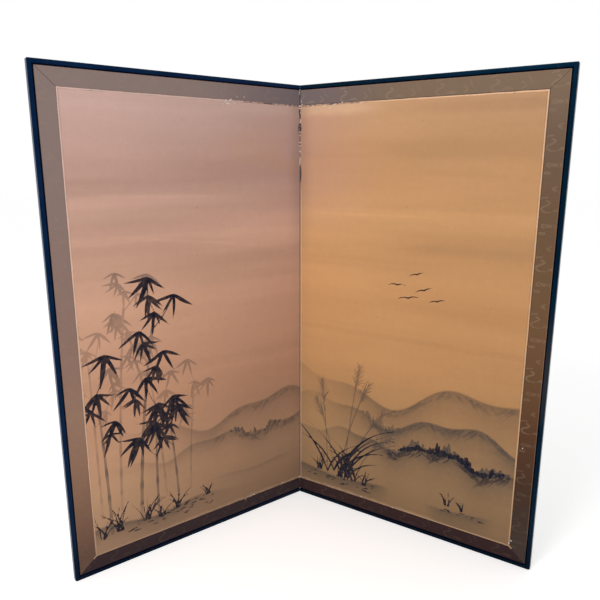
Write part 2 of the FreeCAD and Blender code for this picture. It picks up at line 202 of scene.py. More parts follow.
class Graph:
    """The nodes of a material or a world."""

    def __init__(self, owner):
        owner.use_nodes = True
        self.tree = owner.node_tree
        self.tree.nodes.clear()

    def feed(self, node, inputs):
        """Gives a node's inputs, by number or name, a constant or what another node gives."""
        for name, value in dict(inputs).items():
            if isinstance(value, Value):
                self.tree.links.new(value.socket, node.inputs[name])
            else:
                node.inputs[name].default_value = value

    def add(self, kind, inputs=(), **settings):
        node = self.tree.nodes.new(kind)
        for setting, value in settings.items():
            setattr(node, setting, value)
        self.feed(node, inputs)
        return node

    def value(self, kind, inputs=(), output=0, **settings):
        return Value(self, self.add(kind, inputs, **settings).outputs[output])

    def math(self, operation, a, b=0.0):
        return self.value("ShaderNodeMath", {0: a, 1: b}, operation=operation)


class Material(Graph):
    """A material with one shader, whose textures lie by the place on the panel, or else on the object."""

    def __init__(self, name, on_panel=True, **values):
        self.material = bpy.data.materials.new(name)
        super().__init__(self.material)
        self.shader = self.add("ShaderNodeBsdfPrincipled")
        self.add("ShaderNodeOutputMaterial", {"Surface": Value(self, self.shader.outputs["BSDF"])})
        self.set(**values)
        if on_panel:
            self.place = self.read("place")
            self.u, _, self.z = self.split(self.place)
        else:
            self.place = self.value("ShaderNodeTexCoord", output="Object")

    def set(self, **values):
        """Gives the shader's sockets, with _ for a space in their names, and returns the material."""
        self.feed(self.shader, {name.replace("_", " "): value for name, value in values.items()})
        return self.material

    def finish(self, height, distance, strength, **values):
        """Gives the shader the tone, a relief and other values, and returns the material."""
        relief = self.value("ShaderNodeBump", {"Strength": strength, "Distance": distance, "Height": height})
        return self.set(Base_Color=self.tone, Normal=relief, **values)

    def read(self, name, output="Vector"):
        """What was kept at the points of the mesh: a vector, or a number with the output Fac."""
        return self.value("ShaderNodeAttribute", output=output, attribute_name=name)

    def split(self, vector):
        return [Value(self, part) for part in self.add("ShaderNodeSeparateXYZ", {0: vector}).outputs]

    def texture(self, kind, scale, at=None, output=0, **values):
        """What a texture gives; scale is one number or one for each axis."""
        factors = scale if isinstance(scale, tuple) else (scale, scale, scale)
        vector = self.value("ShaderNodeVectorMath", {0: at or self.place, 1: factors}, operation="MULTIPLY")
        return self.value(f"ShaderNodeTex{kind}", {"Vector": vector, "Scale": 1.0, **values}, output)

    def noise(self, scale, detail=2.0, roughness=0.5, at=None):
        """Uneven values round 0, mostly from -0.25 to 0.25."""
        return self.texture("Noise", scale, at, Detail=detail, Roughness=roughness) - 0.5

    def mix(self, share, a, b):
        return self.value("ShaderNodeMix", {0: share, 6: a, 7: b}, 2, data_type="RGBA")

    def tint(self, share, colour):
        """Moves the tone towards a colour."""
        self.tone = self.mix(share, self.tone, colour)

    def lighten(self, factor):
        self.tone = self.value("ShaderNodeVectorMath", {0: self.tone, "Scale": factor}, operation="SCALE")

    def start_by_height(self, stops, level):
        """Starts with a tone for each height, made lighter by a level."""
        self.tone = self.value("ShaderNodeValToRGB", {0: self.math("DIVIDE", self.z, float(PANEL_HEIGHT))})
        elements = self.tone.socket.node.color_ramp.elements
        while len(elements) < len(stops):
            elements.new(0.5)
        for element, (position, *colour) in zip(elements, stops):
            element.position = position
            element.color = rgb(*colour)
        self.lighten(level)


# Tones from the foot of a panel up: a share of its height, and red, green and blue. The silk's tones hold painted
# shade that darkens them towards the foot, and the two sides differ partly by painted light
SILK_TONES = {
    "left": ((0.05, 151, 119, 93), (0.18, 178, 139, 108), (0.35, 192, 145, 116), (0.53, 206, 160, 133),
             (0.7, 204, 162, 142), (0.82, 197, 159, 146), (0.95, 202, 168, 158)),
    "right": ((0.05, 140, 110, 80), (0.18, 167, 130, 92), (0.35, 188, 140, 94), (0.53, 200, 148, 99),
              (0.7, 204, 154, 106), (0.82, 196, 148, 104), (0.95, 194, 150, 111)),
}
# What the silk leans to near the fold high up, and just under the top border up to its reach
SILK_ROSE = {"left": rgb(187, 153, 141), "right": rgb(184, 143, 132)}
SILK_HEAD = {"left": rgb(206, 176, 162), "right": rgb(222, 184, 148)}
HEAD_REACH = {"left": (0.25, 0.5), "right": (0.2, 0.4)}
# How light the silk is at the fold and at its outer edge, as painted light and shade across each panel, and how
# much lighter its outer half is low down
SILK_SHADING_ACROSS = {"left": (0.90, 1.12), "right": (1.02, 0.89)}
LOW_LIFT = {"left": 0.14, "right": 0.0}
# Broad level streaks, partly the silk's own tone and partly painted light and shade of its gentle waves: height,
# half the width, and how much lighter at the fold and at the outer edge
SILK_STREAKS = {
    "left": ((1.585, 0.016, 0.04, 0.04), (1.385, 0.045, -0.07, -0.07), (1.335, 0.030, 0.05, -0.14),
             (1.288, 0.020, 0.05, 0.05), (1.175, 0.080, 0.18, -0.12), (1.163, 0.014, 0.05, 0.08),
             (1.065, 0.030, -0.05, -0.05), (0.945, 0.040, 0.04, 0.04), (0.685, 0.024, -0.05, -0.05)),
    "right": ((1.590, 0.022, 0.05, -0.08), (1.455, 0.035, -0.07, -0.05), (1.395, 0.022, -0.04, 0.03),
              (1.228, 0.022, 0.07, 0.05), (1.140, 0.050, 0.0, -0.10), (1.090, 0.036, -0.04, -0.05),
              (1.045, 0.024, -0.07, 0.0), (0.970, 0.046, 0.04, 0.02), (0.920, 0.060, -0.02, -0.06),
              (0.770, 0.012, -0.05, -0.05)),
}
# Creases: height at the fold, rise per metre outwards, where each starts and ends, and its strength
CREASES = {
    "left": ((1.286, 0.028, 0.36, 0.84, 0.07), (1.085, 0.122, 0.10, 0.82, 0.06)),
    "right": ((1.226, -0.002, 0.02, 0.66, 0.06), (1.075, 0.10, 0.12, 0.50, 0.03)),
}
CREASE_HALF = 2.0 * MM
CREASE_SOFT = 6.0 * MM
WORN_PALE = rgb(226, 208, 200)
WORN_GREY = rgb(140, 116, 108)
# The dark of worn patches, also used for the painted shade in the fold's gap
WORN_AND_SHADED_DARK = rgb(54, 43, 53)
# Wear beside the fold: height, half its length, reach outwards, colour and strength
FOLD_WEAR = {
    "left": ((1.597, 0.020, 0.0040, WORN_AND_SHADED_DARK, 0.9), (1.546, 0.016, 0.0080, WORN_AND_SHADED_DARK, 0.85),
             (1.532, 0.012, 0.0130, WORN_GREY, 0.6), (1.465, 0.014, 0.0026, WORN_PALE, 0.2),
             (1.418, 0.014, 0.0020, WORN_PALE, 0.6)),
    "right": ((1.597, 0.020, 0.0045, WORN_AND_SHADED_DARK, 0.9), (1.546, 0.016, 0.0065, WORN_AND_SHADED_DARK, 0.85),
              (1.570, 0.005, 0.0050, WORN_PALE, 0.6), (1.600, 0.004, 0.0050, WORN_PALE, 0.5),
              (1.455, 0.010, 0.0026, WORN_PALE, 0.2), (1.372, 0.036, 0.0060, WORN_AND_SHADED_DARK, 0.92),
              (1.424, 0.010, 0.0018, WORN_PALE, 0.7)),
}
INK_BLACK = rgb(14, 19, 36)
INK_GREY = rgb(66, 62, 62)
WASH_GREY = rgb(66, 62, 60)
BRUSH_EDGE = 0.5 * MM
STRIP_SHADOW = {"left": 0.15, "right": 0.42}


def bare_silk(g, side, u, z, weave):
    """The silk's own tone, with broad level streaks and two long creases."""
    # painted light and shade across the panel, from the fold to the outer edge
    level = u.fade(0.0, float(SILK_HIGH[0]), *SILK_SHADING_ACROSS[side]) + weave
    level += 0.20 * g.noise((1.2, 1.0, 13.0), 3.0, 0.6) + 0.12 * g.noise((1.6, 1.0, 3.2))
    level += u.fade(0.35, 0.86) * z.fall(0.25, 0.8, LOW_LIFT[side])
    waver = 24 * MM * g.noise((3.0, 1.0, 3.0))
    # streaks: the silk's own tone together with painted light and shade of its waves
    for height, half, *strengths in SILK_STREAKS[side]:
        level += (z + waver).band(height, half * 0.4, half) * u.fade(0.1, 0.8, *strengths)
    broken = g.noise((16.0, 1.0, 16.0)).fade(-0.16, 0.08, 0.25, 1.0)
    for height, slope, start, end, strength in CREASES[side]:
        line = height + slope * u + 0.6 * waver
        along = u.fade(start, start + 0.08) * u.fall(end - 0.12, end)
        level += (z - line).band(0.0, CREASE_HALF, CREASE_SOFT) * along * broken * strength
    g.start_by_height(SILK_TONES[side], level)


def stain(g, side, u, z, mottle):
    """Rose near the fold high up, pale below the top border, soil at the fold, amber clouds and foxing."""
    g.tint(u.fall(0.0, 0.42, 0.5) * z.fade(1.05, 1.45), SILK_ROSE[side])
    head_edge = z + 20 * MM * g.noise((20.0, 1.0, 6.0), 3.0)
    head = head_edge.fade(SILK_HIGH[2] - 50 * MM, SILK_HIGH[2] - 18 * MM, 0.0, 0.5)
    g.tint(head * u.fall(*HEAD_REACH[side]), SILK_HEAD[side])
    soiled = (u + 40 * MM * g.noise(16.0, 3.0)).fall(0.0, 70 * MM, 0.3)
    g.tint(soiled * z.fade(1.0, 1.35, 0.3, 1.0), rgb(112, 86, 80))
    amber = g.noise((2.2, 1.0, 6.0)).fade(0.02, 0.22, 0.0, 0.13)
    g.tint(amber * z.fade(0.3, 0.8), rgb(206, 146, 96))
    spots = g.texture("Voronoi", 21.0, output="Distance").fall(0.05, 0.11, 0.3)
    g.tint(spots * mottle.fade(0.0, 0.1), rgb(140, 98, 66))


def lay_ink(g):
    """A wash, then pale and dark strokes that bleed a little, pool unevenly and run dry in places."""
    pale_edge, pale_tone, wash = g.split(g.read("pale_ink"))
    dark_edge, dark_tone, _ = g.split(g.read("dark_ink"))
    dark_tone = 1.08 * dark_tone * (1.9 - dark_tone)
    pooling = g.noise(55.0, 3.0)
    bleed = 2.2 * MM * g.noise(420.0, 3.0, 0.6)
    dryness = g.noise(260.0, 3.0, 0.7).fade(0.12, 0.3, 1.0, 0.72)
    g.tint(g.math("MINIMUM", wash * (1 + 0.5 * pooling), 0.9), WASH_GREY)
    for edge, strength, ink in ((pale_edge, pale_tone, INK_GREY), (dark_edge, dark_tone, INK_BLACK)):
        inside = (edge + bleed).fall(-BRUSH_EDGE, BRUSH_EDGE)
        g.tint(inside * strength * dryness * (1 + 0.35 * pooling), ink)


def shade_and_wear_fold(g, side, u, z, mottle):
    """A dark line along the fold, which is painted shade of the gap between the panels, torn dark and pale patches
    beside it, and flecks high up.
    """
    # painted shade: a dark line in the gap at the fold
    g.tint((u + 1.5 * MM * mottle).fall(1.2 * MM, 3.4 * MM, 0.55), WORN_AND_SHADED_DARK)
    if side == "right":
        pale_line = u.band(5.0 * MM, 1.0 * MM, 1.6 * MM) * z.fall(1.28, 1.34, 0.4)
        g.tint(pale_line, rgb(228, 190, 170))
    ragged = u + 9 * MM * g.noise((150.0, 1.0, 90.0), 3.0)
    torn_z = z + 16 * MM * g.noise((90.0, 1.0, 60.0))
    for height, half, reach, colour, strength in FOLD_WEAR[side]:
        rise, out = (torn_z - height) * (1 / half), ragged * (1 / reach)
        g.tint((rise * rise + out * out).fall(0.5, 1.3, strength), colour)
    flecks = g.noise((60.0, 1.0, 150.0))
    at_fold = u.fall(2.5 * MM, 5.5 * MM) * z.fade(1.36, 1.46)
    g.tint(at_fold * flecks.fade(0.07, 0.13, 0.0, 0.75), WORN_AND_SHADED_DARK)
    g.tint(at_fold * flecks.fall(-0.13, -0.07, 0.75), WORN_PALE)


def silk_material(side):
    """Aged painting silk with ink on it, worn at the fold and painted with shade in the fold's gap, rubbed at its
    foot and shaded by the strip.
    """
    g = Material(f"painting_silk_{side}", Roughness=0.8, Specular_IOR_Level=0.12, Sheen_Weight=0.04)
    u, z = g.u, g.z
    mottle = g.noise(38.0, 3.0, 0.6)
    grain = g.noise((210.0, 1.0, 270.0), 2.0, 0.6)
    threads = g.noise((45.0, 1.0, 1500.0))
    warp = g.noise((1400.0, 1.0, 30.0), 1.0)
    bare_silk(g, side, u, z, 0.09 * mottle + 0.12 * grain + 0.10 * threads + 0.05 * warp)
    stain(g, side, u, z, mottle)
    lay_ink(g)
    shade_and_wear_fold(g, side, u, z, mottle)
    foot_edge = z + 18 * MM * g.noise((30.0, 1.0, 8.0), 3.0)
    worn_foot = foot_edge.fall(SILK_LOW[2] + 2 * MM, SILK_LOW[2] + 9 * MM, 0.22)
    g.tint(worn_foot * u.fall(0.5, 0.7), rgb(206, 172, 140))
    shaded = u.fade(SILK_HIGH[0] - 2.2 * MM, SILK_HIGH[0] - 0.6 * MM, 0.0, STRIP_SHADOW[side])
    g.tint(shaded, rgb(122, 90, 66))
    return g.finish(0.6 * threads + 0.5 * warp + 1.2 * mottle, 0.12 * MM, 0.5)


# Brocade tones by height: they hold painted shade that darkens them towards the foot, and the left and right
# cloths and feet differ partly by painted light
BROCADE_TONES = {
    "left": ((0.05, 100, 72, 58), (0.12, 123, 90, 71), (0.24, 147, 112, 90), (0.35, 155, 121, 102),
             (0.5, 147, 118, 106), (0.75, 143, 122, 115), (0.97, 141, 122, 117)),
    "right": ((0.05, 57, 43, 36), (0.1, 57, 41, 31), (0.17, 61, 37, 21), (0.23, 72, 43, 24),
              (0.3, 83, 51, 28), (0.36, 93, 62, 37), (0.5, 105, 74, 46), (0.75, 103, 78, 56),
              (0.88, 107, 84, 67), (0.97, 120, 98, 79)),
    "left_foot": ((0.01, 42, 22, 26), (0.04, 45, 25, 28)),
    "right_foot": ((0.01, 38, 11, 12), (0.04, 41, 13, 14)),
}
FIGURE_SHARE = {"left": 0.12, "right": 0.21, "left_foot": 0.16, "right_foot": 0.16}
EDGE_SHADE = {"left": 0.12, "right": 0.6, "left_foot": 0.4, "right_foot": 0.4}


def brocade_material(kind):
    """Ribbed border cloth with a faint gold figure, darker along its seams, with painted shade along its inner
    edge and along the fold.
    """
    g = Material(f"brocade_{kind}", Roughness=0.65, Specular_IOR_Level=0.2, Sheen_Weight=0.08)
    u, z, weave = g.u, g.z, g.read("weave")
    _, across, figure = g.split(weave)
    ribs = g.noise((220.0, 1700.0, 1.0), at=weave)
    cross_ribs = g.noise((1500.0, 160.0, 1.0), at=weave)
    mottle = g.noise(30.0, 3.0, 0.6)
    near_fold = u.fall(0.0, 0.45) * z.fade(1.2, 1.5)
    level = 1 + 0.22 * ribs + 0.16 * cross_ribs + 0.12 * mottle - 0.26 * near_fold
    # tones by height, with painted shade towards the foot
    g.start_by_height(BROCADE_TONES[kind], level)
    g.tint(0.6 * near_fold, rgb(116, 104, 111))
    speck = g.noise((500.0, 500.0, 1.0), at=weave)
    drawn = (figure + 2.4 * MM * speck).fall(-0.9 * MM, 1.3 * MM)
    gold = g.noise(13.0, 3.0).fade(-0.18, 0.14, 0.55, 1.0)
    gold *= z.fade(0.2, 0.55, FIGURE_SHARE[kind] * 0.35, FIGURE_SHARE[kind])
    g.tint(drawn * gold, rgb(172, 148, 122))
    g.tint(across.fade(0.955, 0.985, 0.0, 0.5) * z.fade(0.06, 0.16), rgb(160, 118, 92))
    g.tint(across.fall(0.02, 0.06, EDGE_SHADE[kind]), rgb(40, 27, 27))
    # painted shade: a dark line in the gap at the fold
    g.tint((u + 4 * MM * mottle).fall(1.5 * MM, 4.0 * MM, 0.6), WORN_AND_SHADED_DARK)
    g.tint(g.read("seam", "Fac").fall(0.5 * MM, 1.6 * MM, 0.55), rgb(58, 46, 40))
    return g.finish(ribs + 0.7 * cross_ribs + 0.8 * drawn, 0.25 * MM, 0.6)


# Strip tones by height: they hold painted shade that darkens them towards the foot, and the two sides differ
# partly by painted light
STRIP_TONES = {
    "left": ((0.04, 172, 138, 110), (0.2, 206, 166, 136), (0.6, 228, 188, 164), (0.95, 214, 180, 168)),
    "right": ((0.04, 170, 134, 100), (0.2, 188, 148, 108), (0.6, 202, 157, 116), (0.95, 212, 167, 130)),
}


def strip_material(side):
    """Pale gold edging, rubbed through in places, torn high up near the fold and frayed low down."""
    g = Material(f"edging_gold_{side}", Roughness=0.5, Metallic=0.15, Specular_IOR_Level=0.4)
    grain = g.noise(160.0, 4.0, 0.65)
    # tones by height, with painted shade towards the foot
    g.start_by_height(STRIP_TONES[side], 1 + 0.35 * grain + 0.2 * g.noise(12.0))
    g.tint(g.noise(75.0, 3.0).fade(0.13, 0.2, 0.0, 0.55), rgb(132, 96, 70))
    near_fold = g.u.fall(0.16, 0.34) * g.z.fade(0.9, 1.2)
    g.tint(0.6 * near_fold, rgb(150, 122, 112))
    torn = g.noise((48.0, 1.0, 20.0), 3.0).fade(-0.02, 0.04, 0.0, 0.9)
    g.tint(near_fold * torn, rgb(98, 76, 74))
    foot = g.u.fall(0.3, 0.6) * g.z.fall(0.1, 0.2)
    g.tint(foot * g.noise(26.0, 3.0).fade(-0.06, 0.08, 0.15, 0.8), rgb(136, 104, 80))
    return g.finish(grain, 0.3 * MM, 0.5)


# Lacquer tones for each side: the left's lighter blue is partly painted light on the same lacquer
LACQUER_TONES = {"left": (rgb(2, 11, 36), rgb(8, 26, 54)), "right": (rgb(1, 7, 18), rgb(3, 16, 30))}
LACQUER_GLINT = {"left": rgb(58, 128, 200), "right": rgb(40, 120, 168)}
FOOT_SHADE = {"left": 0.5, "right": 1.0}


def lacquer_material(side):
    """Black lacquer with a blue cast: faint brush ripples, rubbed brown on the edges, dusty low down, and painted
    shade near black on its inner slope.

    The right upright has lost its shine over a stretch of its height.
    """
    g = Material(f"black_lacquer_{side}", Specular_Tint=LACQUER_GLINT[side])
    slope, cloud = g.read("slope", "Fac"), g.noise(9.0, 3.0)
    g.tone = g.mix(cloud.fade(-0.2, 0.2), *LACQUER_TONES[side])
    g.lighten(g.z.fade(0.0, 0.5, FOOT_SHADE[side], 1.0))
    if side == "right":
        waver = g.z + 0.12 * cloud
        g.tint(0.6 * (waver.fade(0.50, 0.70) * waver.fall(0.74, 0.98)), rgb(52, 46, 38))
    # painted shade: the inner slope darkened near black
    g.tint(0.8 * slope, rgb(0, 1, 10))
    worn = g.read("wear", "Fac") * g.noise(42.0, 4.0, 0.7).fade(0.08, 0.2, 0.0, 0.5)
    g.tint(worn, rgb(74, 50, 34))
    dust = g.z.fall(0.0, 0.2, 0.6) * g.noise((26.0, 26.0, 90.0), 4.0, 0.7).fade(0.2, 0.3, 0.0, 0.3)
    g.tint(dust, rgb(92, 84, 76))
    return g.finish(g.noise((24.0, 24.0, 6.0)), 0.6 * MM, 0.35,
                    Roughness=0.3 + 0.2 * g.noise(30.0, 3.0) + 0.5 * worn + dust,
                    Specular_IOR_Level=slope.fade(0.0, 1.0, 0.5, 0.12) * g.z.fade(0.0, 0.25, 0.35, 1.0))


BACK_REPEAT = 104 * MM
BACK_FLOWER = 30 * MM


def flowers(g, shift):
    """Four-petalled flowers with a heart and veins, one in each repeat: 1 where the print is full."""
    x, y = [g.math("FRACT", g.math("DIVIDE", place, BACK_REPEAT) + shift) - 0.5 for place in (g.u, g.z)]
    reach = g.math("SQRT", x * x + y * y)
    petals = g.math("ABSOLUTE", g.math("SINE", 2.0 * g.math("ARCTAN2", y, x)))
    outline = 0.16 + 0.84 * g.math("POWER", petals, 0.6) + petals.fade(0.94, 1.0, 0.0, -0.12)
    inside = (reach - outline * (BACK_FLOWER / BACK_REPEAT)).fall(-0.008, 0.006)
    heart = reach.fade(0.045, 0.055) + reach.fall(0.02, 0.03)
    return inside * heart * (petals.fade(0.988, 0.998, 1.0, 0.5) + reach.fade(0.17, 0.2, 0.0, 0.5))


def back_paper_material():
    """Backing paper printed with small flowers in staggered rows, faded and stained by damp."""
    g = Material("back_paper", Roughness=0.8, Specular_IOR_Level=0.2)
    printed = flowers(g, 0.0) + flowers(g, 0.5)
    mottle = g.noise(22.0, 4.0, 0.65)
    fibres = g.noise((300.0, 1.0, 60.0), 3.0)
    damp = g.noise((2.0, 1.0, 2.6), 3.0).fade(-0.15, 0.2)
    g.tone = g.mix(damp, rgb(110, 105, 82), rgb(124, 116, 90))
    g.lighten(1 + 0.25 * mottle + 0.12 * fibres)
    g.tint(0.75 * printed * g.noise(9.0, 3.0).fade(-0.2, 0.15, 0.4, 1.0), rgb(66, 70, 62))
    g.tint(g.z.fall(0.02, 0.4, 0.3), rgb(70, 60, 46))
    return g.finish(fibres + 0.4 * printed, 0.15 * MM, 0.5)


def paper_material(name, light, dark):
    """Tough handmade paper: long fibres, brown stains, worn pale on high spots."""
    g = Material(name, on_panel=False, Roughness=0.85, Specular_IOR_Level=0.15)
    fibres = g.noise((420.0, 420.0, 60.0), 4.0, 0.6)
    g.tone = g.mix(g.noise(14.0, 4.0, 0.6).fade(-0.18, 0.22), light, dark)
    g.lighten(1 + 0.3 * fibres)
    return g.finish(fibres, 0.2 * MM, 0.5)


def wood_material():
    """Planed softwood with its growth rings along the stick."""
    g = Material("core_softwood", on_panel=False, Roughness=0.6, Specular_IOR_Level=0.3)
    rings = g.noise((70.0, 70.0, 6.0), 4.0, 0.6)
    pores = g.noise((900.0, 900.0, 40.0))
    g.tone = g.mix(rings.fade(-0.2, 0.2), rgb(204, 170, 124), rgb(166, 122, 78))
    g.lighten(1 + 0.2 * pores)
    return g.finish(pores, 0.2 * MM, 0.4)


def steel_material():
    """Dull drawn steel with a little rust."""
    g = Material("nail_steel", on_panel=False, Metallic=0.9)
    rust = g.noise(400.0, 3.0, 0.6)
    tone = g.mix(rust.fade(0.02, 0.2), rgb(150, 146, 140), rgb(96, 60, 40))
    return g.set(Base_Color=tone, Roughness=rust.fade(-0.1, 0.2, 0.35, 0.8))


# Brushwork, kept at the points of the silk as the distance to the nearest stroke's edge and its tone

INK_REACH = 12 * MM
TINY = 1e-9


class Ink:
    """A layer of brush strokes over the points of a sheet."""

    def __init__(self, places):
        self.places = places
        self.edge = np.full(len(places), INK_REACH)
        self.tone = np.zeros(len(places))

    def stroke(self, path, half_widths, tones):
        """Lays a stroke along a path of points, with a half width and a tone at each point or for all."""
        path = np.asarray(path, float)
        half_widths, tones = [np.broadcast_to(values, len(path)) for values in (half_widths, tones)]
        low, high = path.min(0) - INK_REACH, path.max(0) + INK_REACH
        near = np.flatnonzero(((self.places > low) & (self.places < high)).all(1))
        points = self.places[near]
        best, tone = np.full(len(near), INK_REACH), np.zeros(len(near))
        for i in range(len(path) - 1):
            run = path[i + 1] - path[i]
            share = np.clip((points - path[i]) @ run / max(run @ run, TINY), 0, 1)
            away = np.linalg.norm(points - path[i] - share[:, None] * run, axis=1)
            edge = away - half_widths[i] - share * (half_widths[i + 1] - half_widths[i])
            closer = edge < best
            best[closer] = edge[closer]
            tone[closer] = (tones[i] + share * (tones[i + 1] - tones[i]))[closer]
        closer = best < self.edge[near]
        self.edge[near[closer]] = best[closer]
        self.tone[near[closer]] = tone[closer]


def bent_path(start, heading, length, bend, count=9):
    """Points along an arc that starts at a heading and turns by bend over its length."""
    headings = heading + bend * np.linspace(0, 1, count)
    steps = np.stack([np.cos(headings), np.sin(headings)], 1) * length / (count - 1)
    return np.asarray(start) + np.vstack([[0, 0], np.cumsum((steps[1:] + steps[:-1]) / 2, 0)])


LEAF_POINTS = 9
LEAF_SHAPE = np.sin(np.pi * np.linspace(0.02, 1, LEAF_POINTS) ** 0.7) ** 0.8
LEAF_THINNEST = 0.9 * MM
STEM_HALF = 2.1 * MM
# One run of a bamboo stem between two joints: shares of its length, of its half width and of its tone
CULM_STATIONS = np.linspace(0.03, 0.97, 5)[:, None]
CULM_SWELL = np.array([1.16, 0.95, 0.92, 0.95, 1.14])
CULM_TONES = np.array([1.1, 0.8, 0.72, 0.8, 1.1])


def leaf_cluster(ink, draw, start, size, tone):
    """Pointed leaves that hang from the tip of a twig like a spread hand, each paler towards its tip."""
    count = int(draw.integers(4, 7))
    spread = np.linspace(-1.05, 1.05, count) + draw.uniform(-0.15, 0.15, count)
    middle = -math.pi / 2 + draw.uniform(-0.45, 0.45)
    for turn in spread:
        length = size * draw.uniform(0.7, 1.1) * (1 - 0.25 * abs(turn))
        half_widths = np.maximum(LEAF_SHAPE * (length * draw.uniform(0.062, 0.08)), LEAF_THINNEST)
        leaf_tone = tone * draw.uniform(0.85, 1.0)
        path = bent_path(start, middle + turn, length, draw.uniform(-0.35, 0.35), LEAF_POINTS)
        ink.stroke(path, half_widths, np.linspace(leaf_tone, leaf_tone * 0.82, LEAF_POINTS))


def culm(ink, leaves, draw, leaf_size, foot, height, lean, half_width, tone):
    """One bamboo stem in jointed runs, with twigs and hanging leaves on its upper part."""
    place, risen, side = np.array(foot, float), 0.0, -1
    while risen < height:
        run = 62 * MM + 46 * MM * math.sin(math.pi * min(risen / height, 1.0))
        heading = math.pi / 2 + lean * (0.3 + risen / height)
        end = place + run * np.array([math.cos(heading), math.sin(heading)])
        swell = half_width * (1 - 0.35 * risen / height) * CULM_SWELL
        run_tone = tone * smooth(risen, -0.1, 0.1) * CULM_TONES
        ink.stroke(place + (end - place) * CULM_STATIONS, swell, run_tone)
        if risen > 0.3 * height:
            heading = heading + side * draw.uniform(0.6, 0.95)
            length = draw.uniform(0.07, 0.15)
            twig = bent_path(end, heading, length, -side * draw.uniform(0.3, 0.7))
            leaves.stroke(twig, STEM_HALF * 0.9, tone * 0.9)
            leaf_cluster(leaves, draw, twig[-1], leaf_size, min(tone * 1.55, 1.0))
            if draw.random() < 0.8:
                leaf_cluster(leaves, draw, twig[4], leaf_size * 0.8, min(tone * 1.35, 0.94))
        place, risen, side = end, risen + run, -side
    leaf_cluster(leaves, draw, place, leaf_size * 0.8, min(tone * 1.4, 0.95))


def grass_tuft(ink, draw, foot, count, length, tone):
    """Blades that rise from one foot and arch over to both sides."""
    for _ in range(count):
        lean = draw.uniform(-0.7, 0.7)
        start = np.array(foot) + (draw.uniform(-12, 12) * MM, 0)
        path = bent_path(start, math.pi / 2 - lean * 0.5, length * draw.uniform(0.5, 1.0), -lean * 1.6)
        ink.stroke(path, np.linspace(2.3, 1.3, len(path)) * MM, tone * draw.uniform(0.7, 1.0))


def reed(ink, leaves, draw, foot, height, lean, tone):
    """One stem of plume grass with its feathery head and two or three long blades."""
    stem = bent_path(foot, math.pi / 2 - lean * 0.3, height, -lean, 12)
    ink.stroke(stem, STEM_HALF, tone * 0.7)
    tip = stem[-1] - stem[-2]
    heading = math.atan2(tip[1], tip[0])
    for share in np.linspace(0.0, 1.0, 9):
        start = stem[-1] - tip / np.linalg.norm(tip) * 0.09 * (1 - share)
        length = 0.05 * (1 - 0.4 * share)
        for side in (-1, 1):
            path = bent_path(start, heading + side * 0.25, length, side * draw.uniform(0.4, 0.9), 6)
            ink.stroke(path, np.linspace(1.9, 1.2, 6) * MM, tone * draw.uniform(0.4, 0.75))
    half_widths = np.maximum(np.sin(np.pi * np.linspace(0.1, 1, 12) ** 0.6) * 3.6, 1.2) * MM
    for _ in range(int(draw.integers(2, 4))):
        side = draw.choice((-1, 1))
        heading = math.pi / 2 + side * draw.uniform(0.05, 0.4)
        length = height * draw.uniform(0.5, 0.95)
        path = bent_path(foot, heading, length, side * draw.uniform(0.7, 1.5), 12)
        leaves.stroke(path, half_widths, tone * draw.uniform(0.75, 1.05))


def bird(ink, place, size, tilt, tone):
    """A far bird: two curved wings from one point."""
    for side in (-1, 1):
        path = bent_path(place, math.pi / 2 - side * 1.15 + tilt, size, -side * 0.9, 7)
        ink.stroke(path, np.linspace(2.7, 1.2, 7) * MM, tone)


# Bamboo stems: foot, height, lean, half width, tone
PALE_CULMS = (((0.79, 0.21), 0.76, 0.10, 5.0 * MM, 0.38), ((0.62, 0.22), 0.54, -0.14, 4.4 * MM, 0.32),
              ((0.86, 0.20), 0.58, -0.02, 4.4 * MM, 0.30), ((0.52, 0.21), 0.36, 0.10, 4.0 * MM, 0.30))
DARK_CULMS = (((0.72, 0.14), 0.72, 0.15, 6.4 * MM, 0.66), ((0.655, 0.13), 0.44, 0.04, 5.2 * MM, 0.70),
              ((0.83, 0.13), 0.52, -0.05, 5.6 * MM, 0.66), ((0.57, 0.14), 0.32, -0.10, 4.8 * MM, 0.62))
# Ridges: height, swing, pitch and shift of the line, how far its wash reaches down, and the wash's strength
LEFT_RIDGES = ((0.47, 0.034, 0.10, 0.4, 0.065, 0.56), (0.37, 0.020, 0.07, 2.0, 0.045, 0.70))
RIGHT_RIDGES = ((0.56, 0.055, 0.13, 1.9, 0.10, 0.64), (0.45, 0.034, 0.09, 0.3, 0.09, 0.86),
                (0.34, 0.018, 0.06, 4.0, 0.075, 0.95))
# Tufts: foot, number of blades, length
LEFT_TUFTS = (((0.70, 0.135), 10, 0.11), ((0.80, 0.13), 9, 0.12), ((0.585, 0.14), 8, 0.09),
              ((0.45, 0.15), 6, 0.06), ((0.86, 0.125), 7, 0.10), ((0.64, 0.13), 7, 0.07))
RIGHT_TUFTS = (((0.20, 0.13), 12, 0.12), ((0.31, 0.125), 8, 0.08), ((0.10, 0.14), 8, 0.09),
               ((0.66, 0.15), 7, 0.07), ((0.71, 0.145), 6, 0.05), ((0.26, 0.13), 8, 0.09))
# Reeds: foot, height, lean
REEDS = (((0.20, 0.14), 0.44, 0.35), ((0.235, 0.13), 0.36, 0.55), ((0.17, 0.15), 0.32, -0.35),
         ((0.27, 0.14), 0.27, 0.75), ((0.14, 0.14), 0.40, -0.1), ((0.22, 0.13), 0.50, 0.15))
# Birds: place, size, tilt
BIRDS = (((0.47, 0.93), 0.044, 0.15), ((0.53, 0.965), 0.038, 0.3), ((0.425, 0.975), 0.036, 0.05),
         ((0.58, 0.93), 0.032, 0.2), ((0.50, 1.02), 0.032, 0.25))
GROUND_EDGE = -3 * MM


def ridge_line(u, ridge):
    height, swing, pitch, shift = ridge[:4]
    return height + swing * (np.sin(u / pitch + shift) + 0.45 * np.sin(u / pitch * 2.3 + 1.7 * shift))


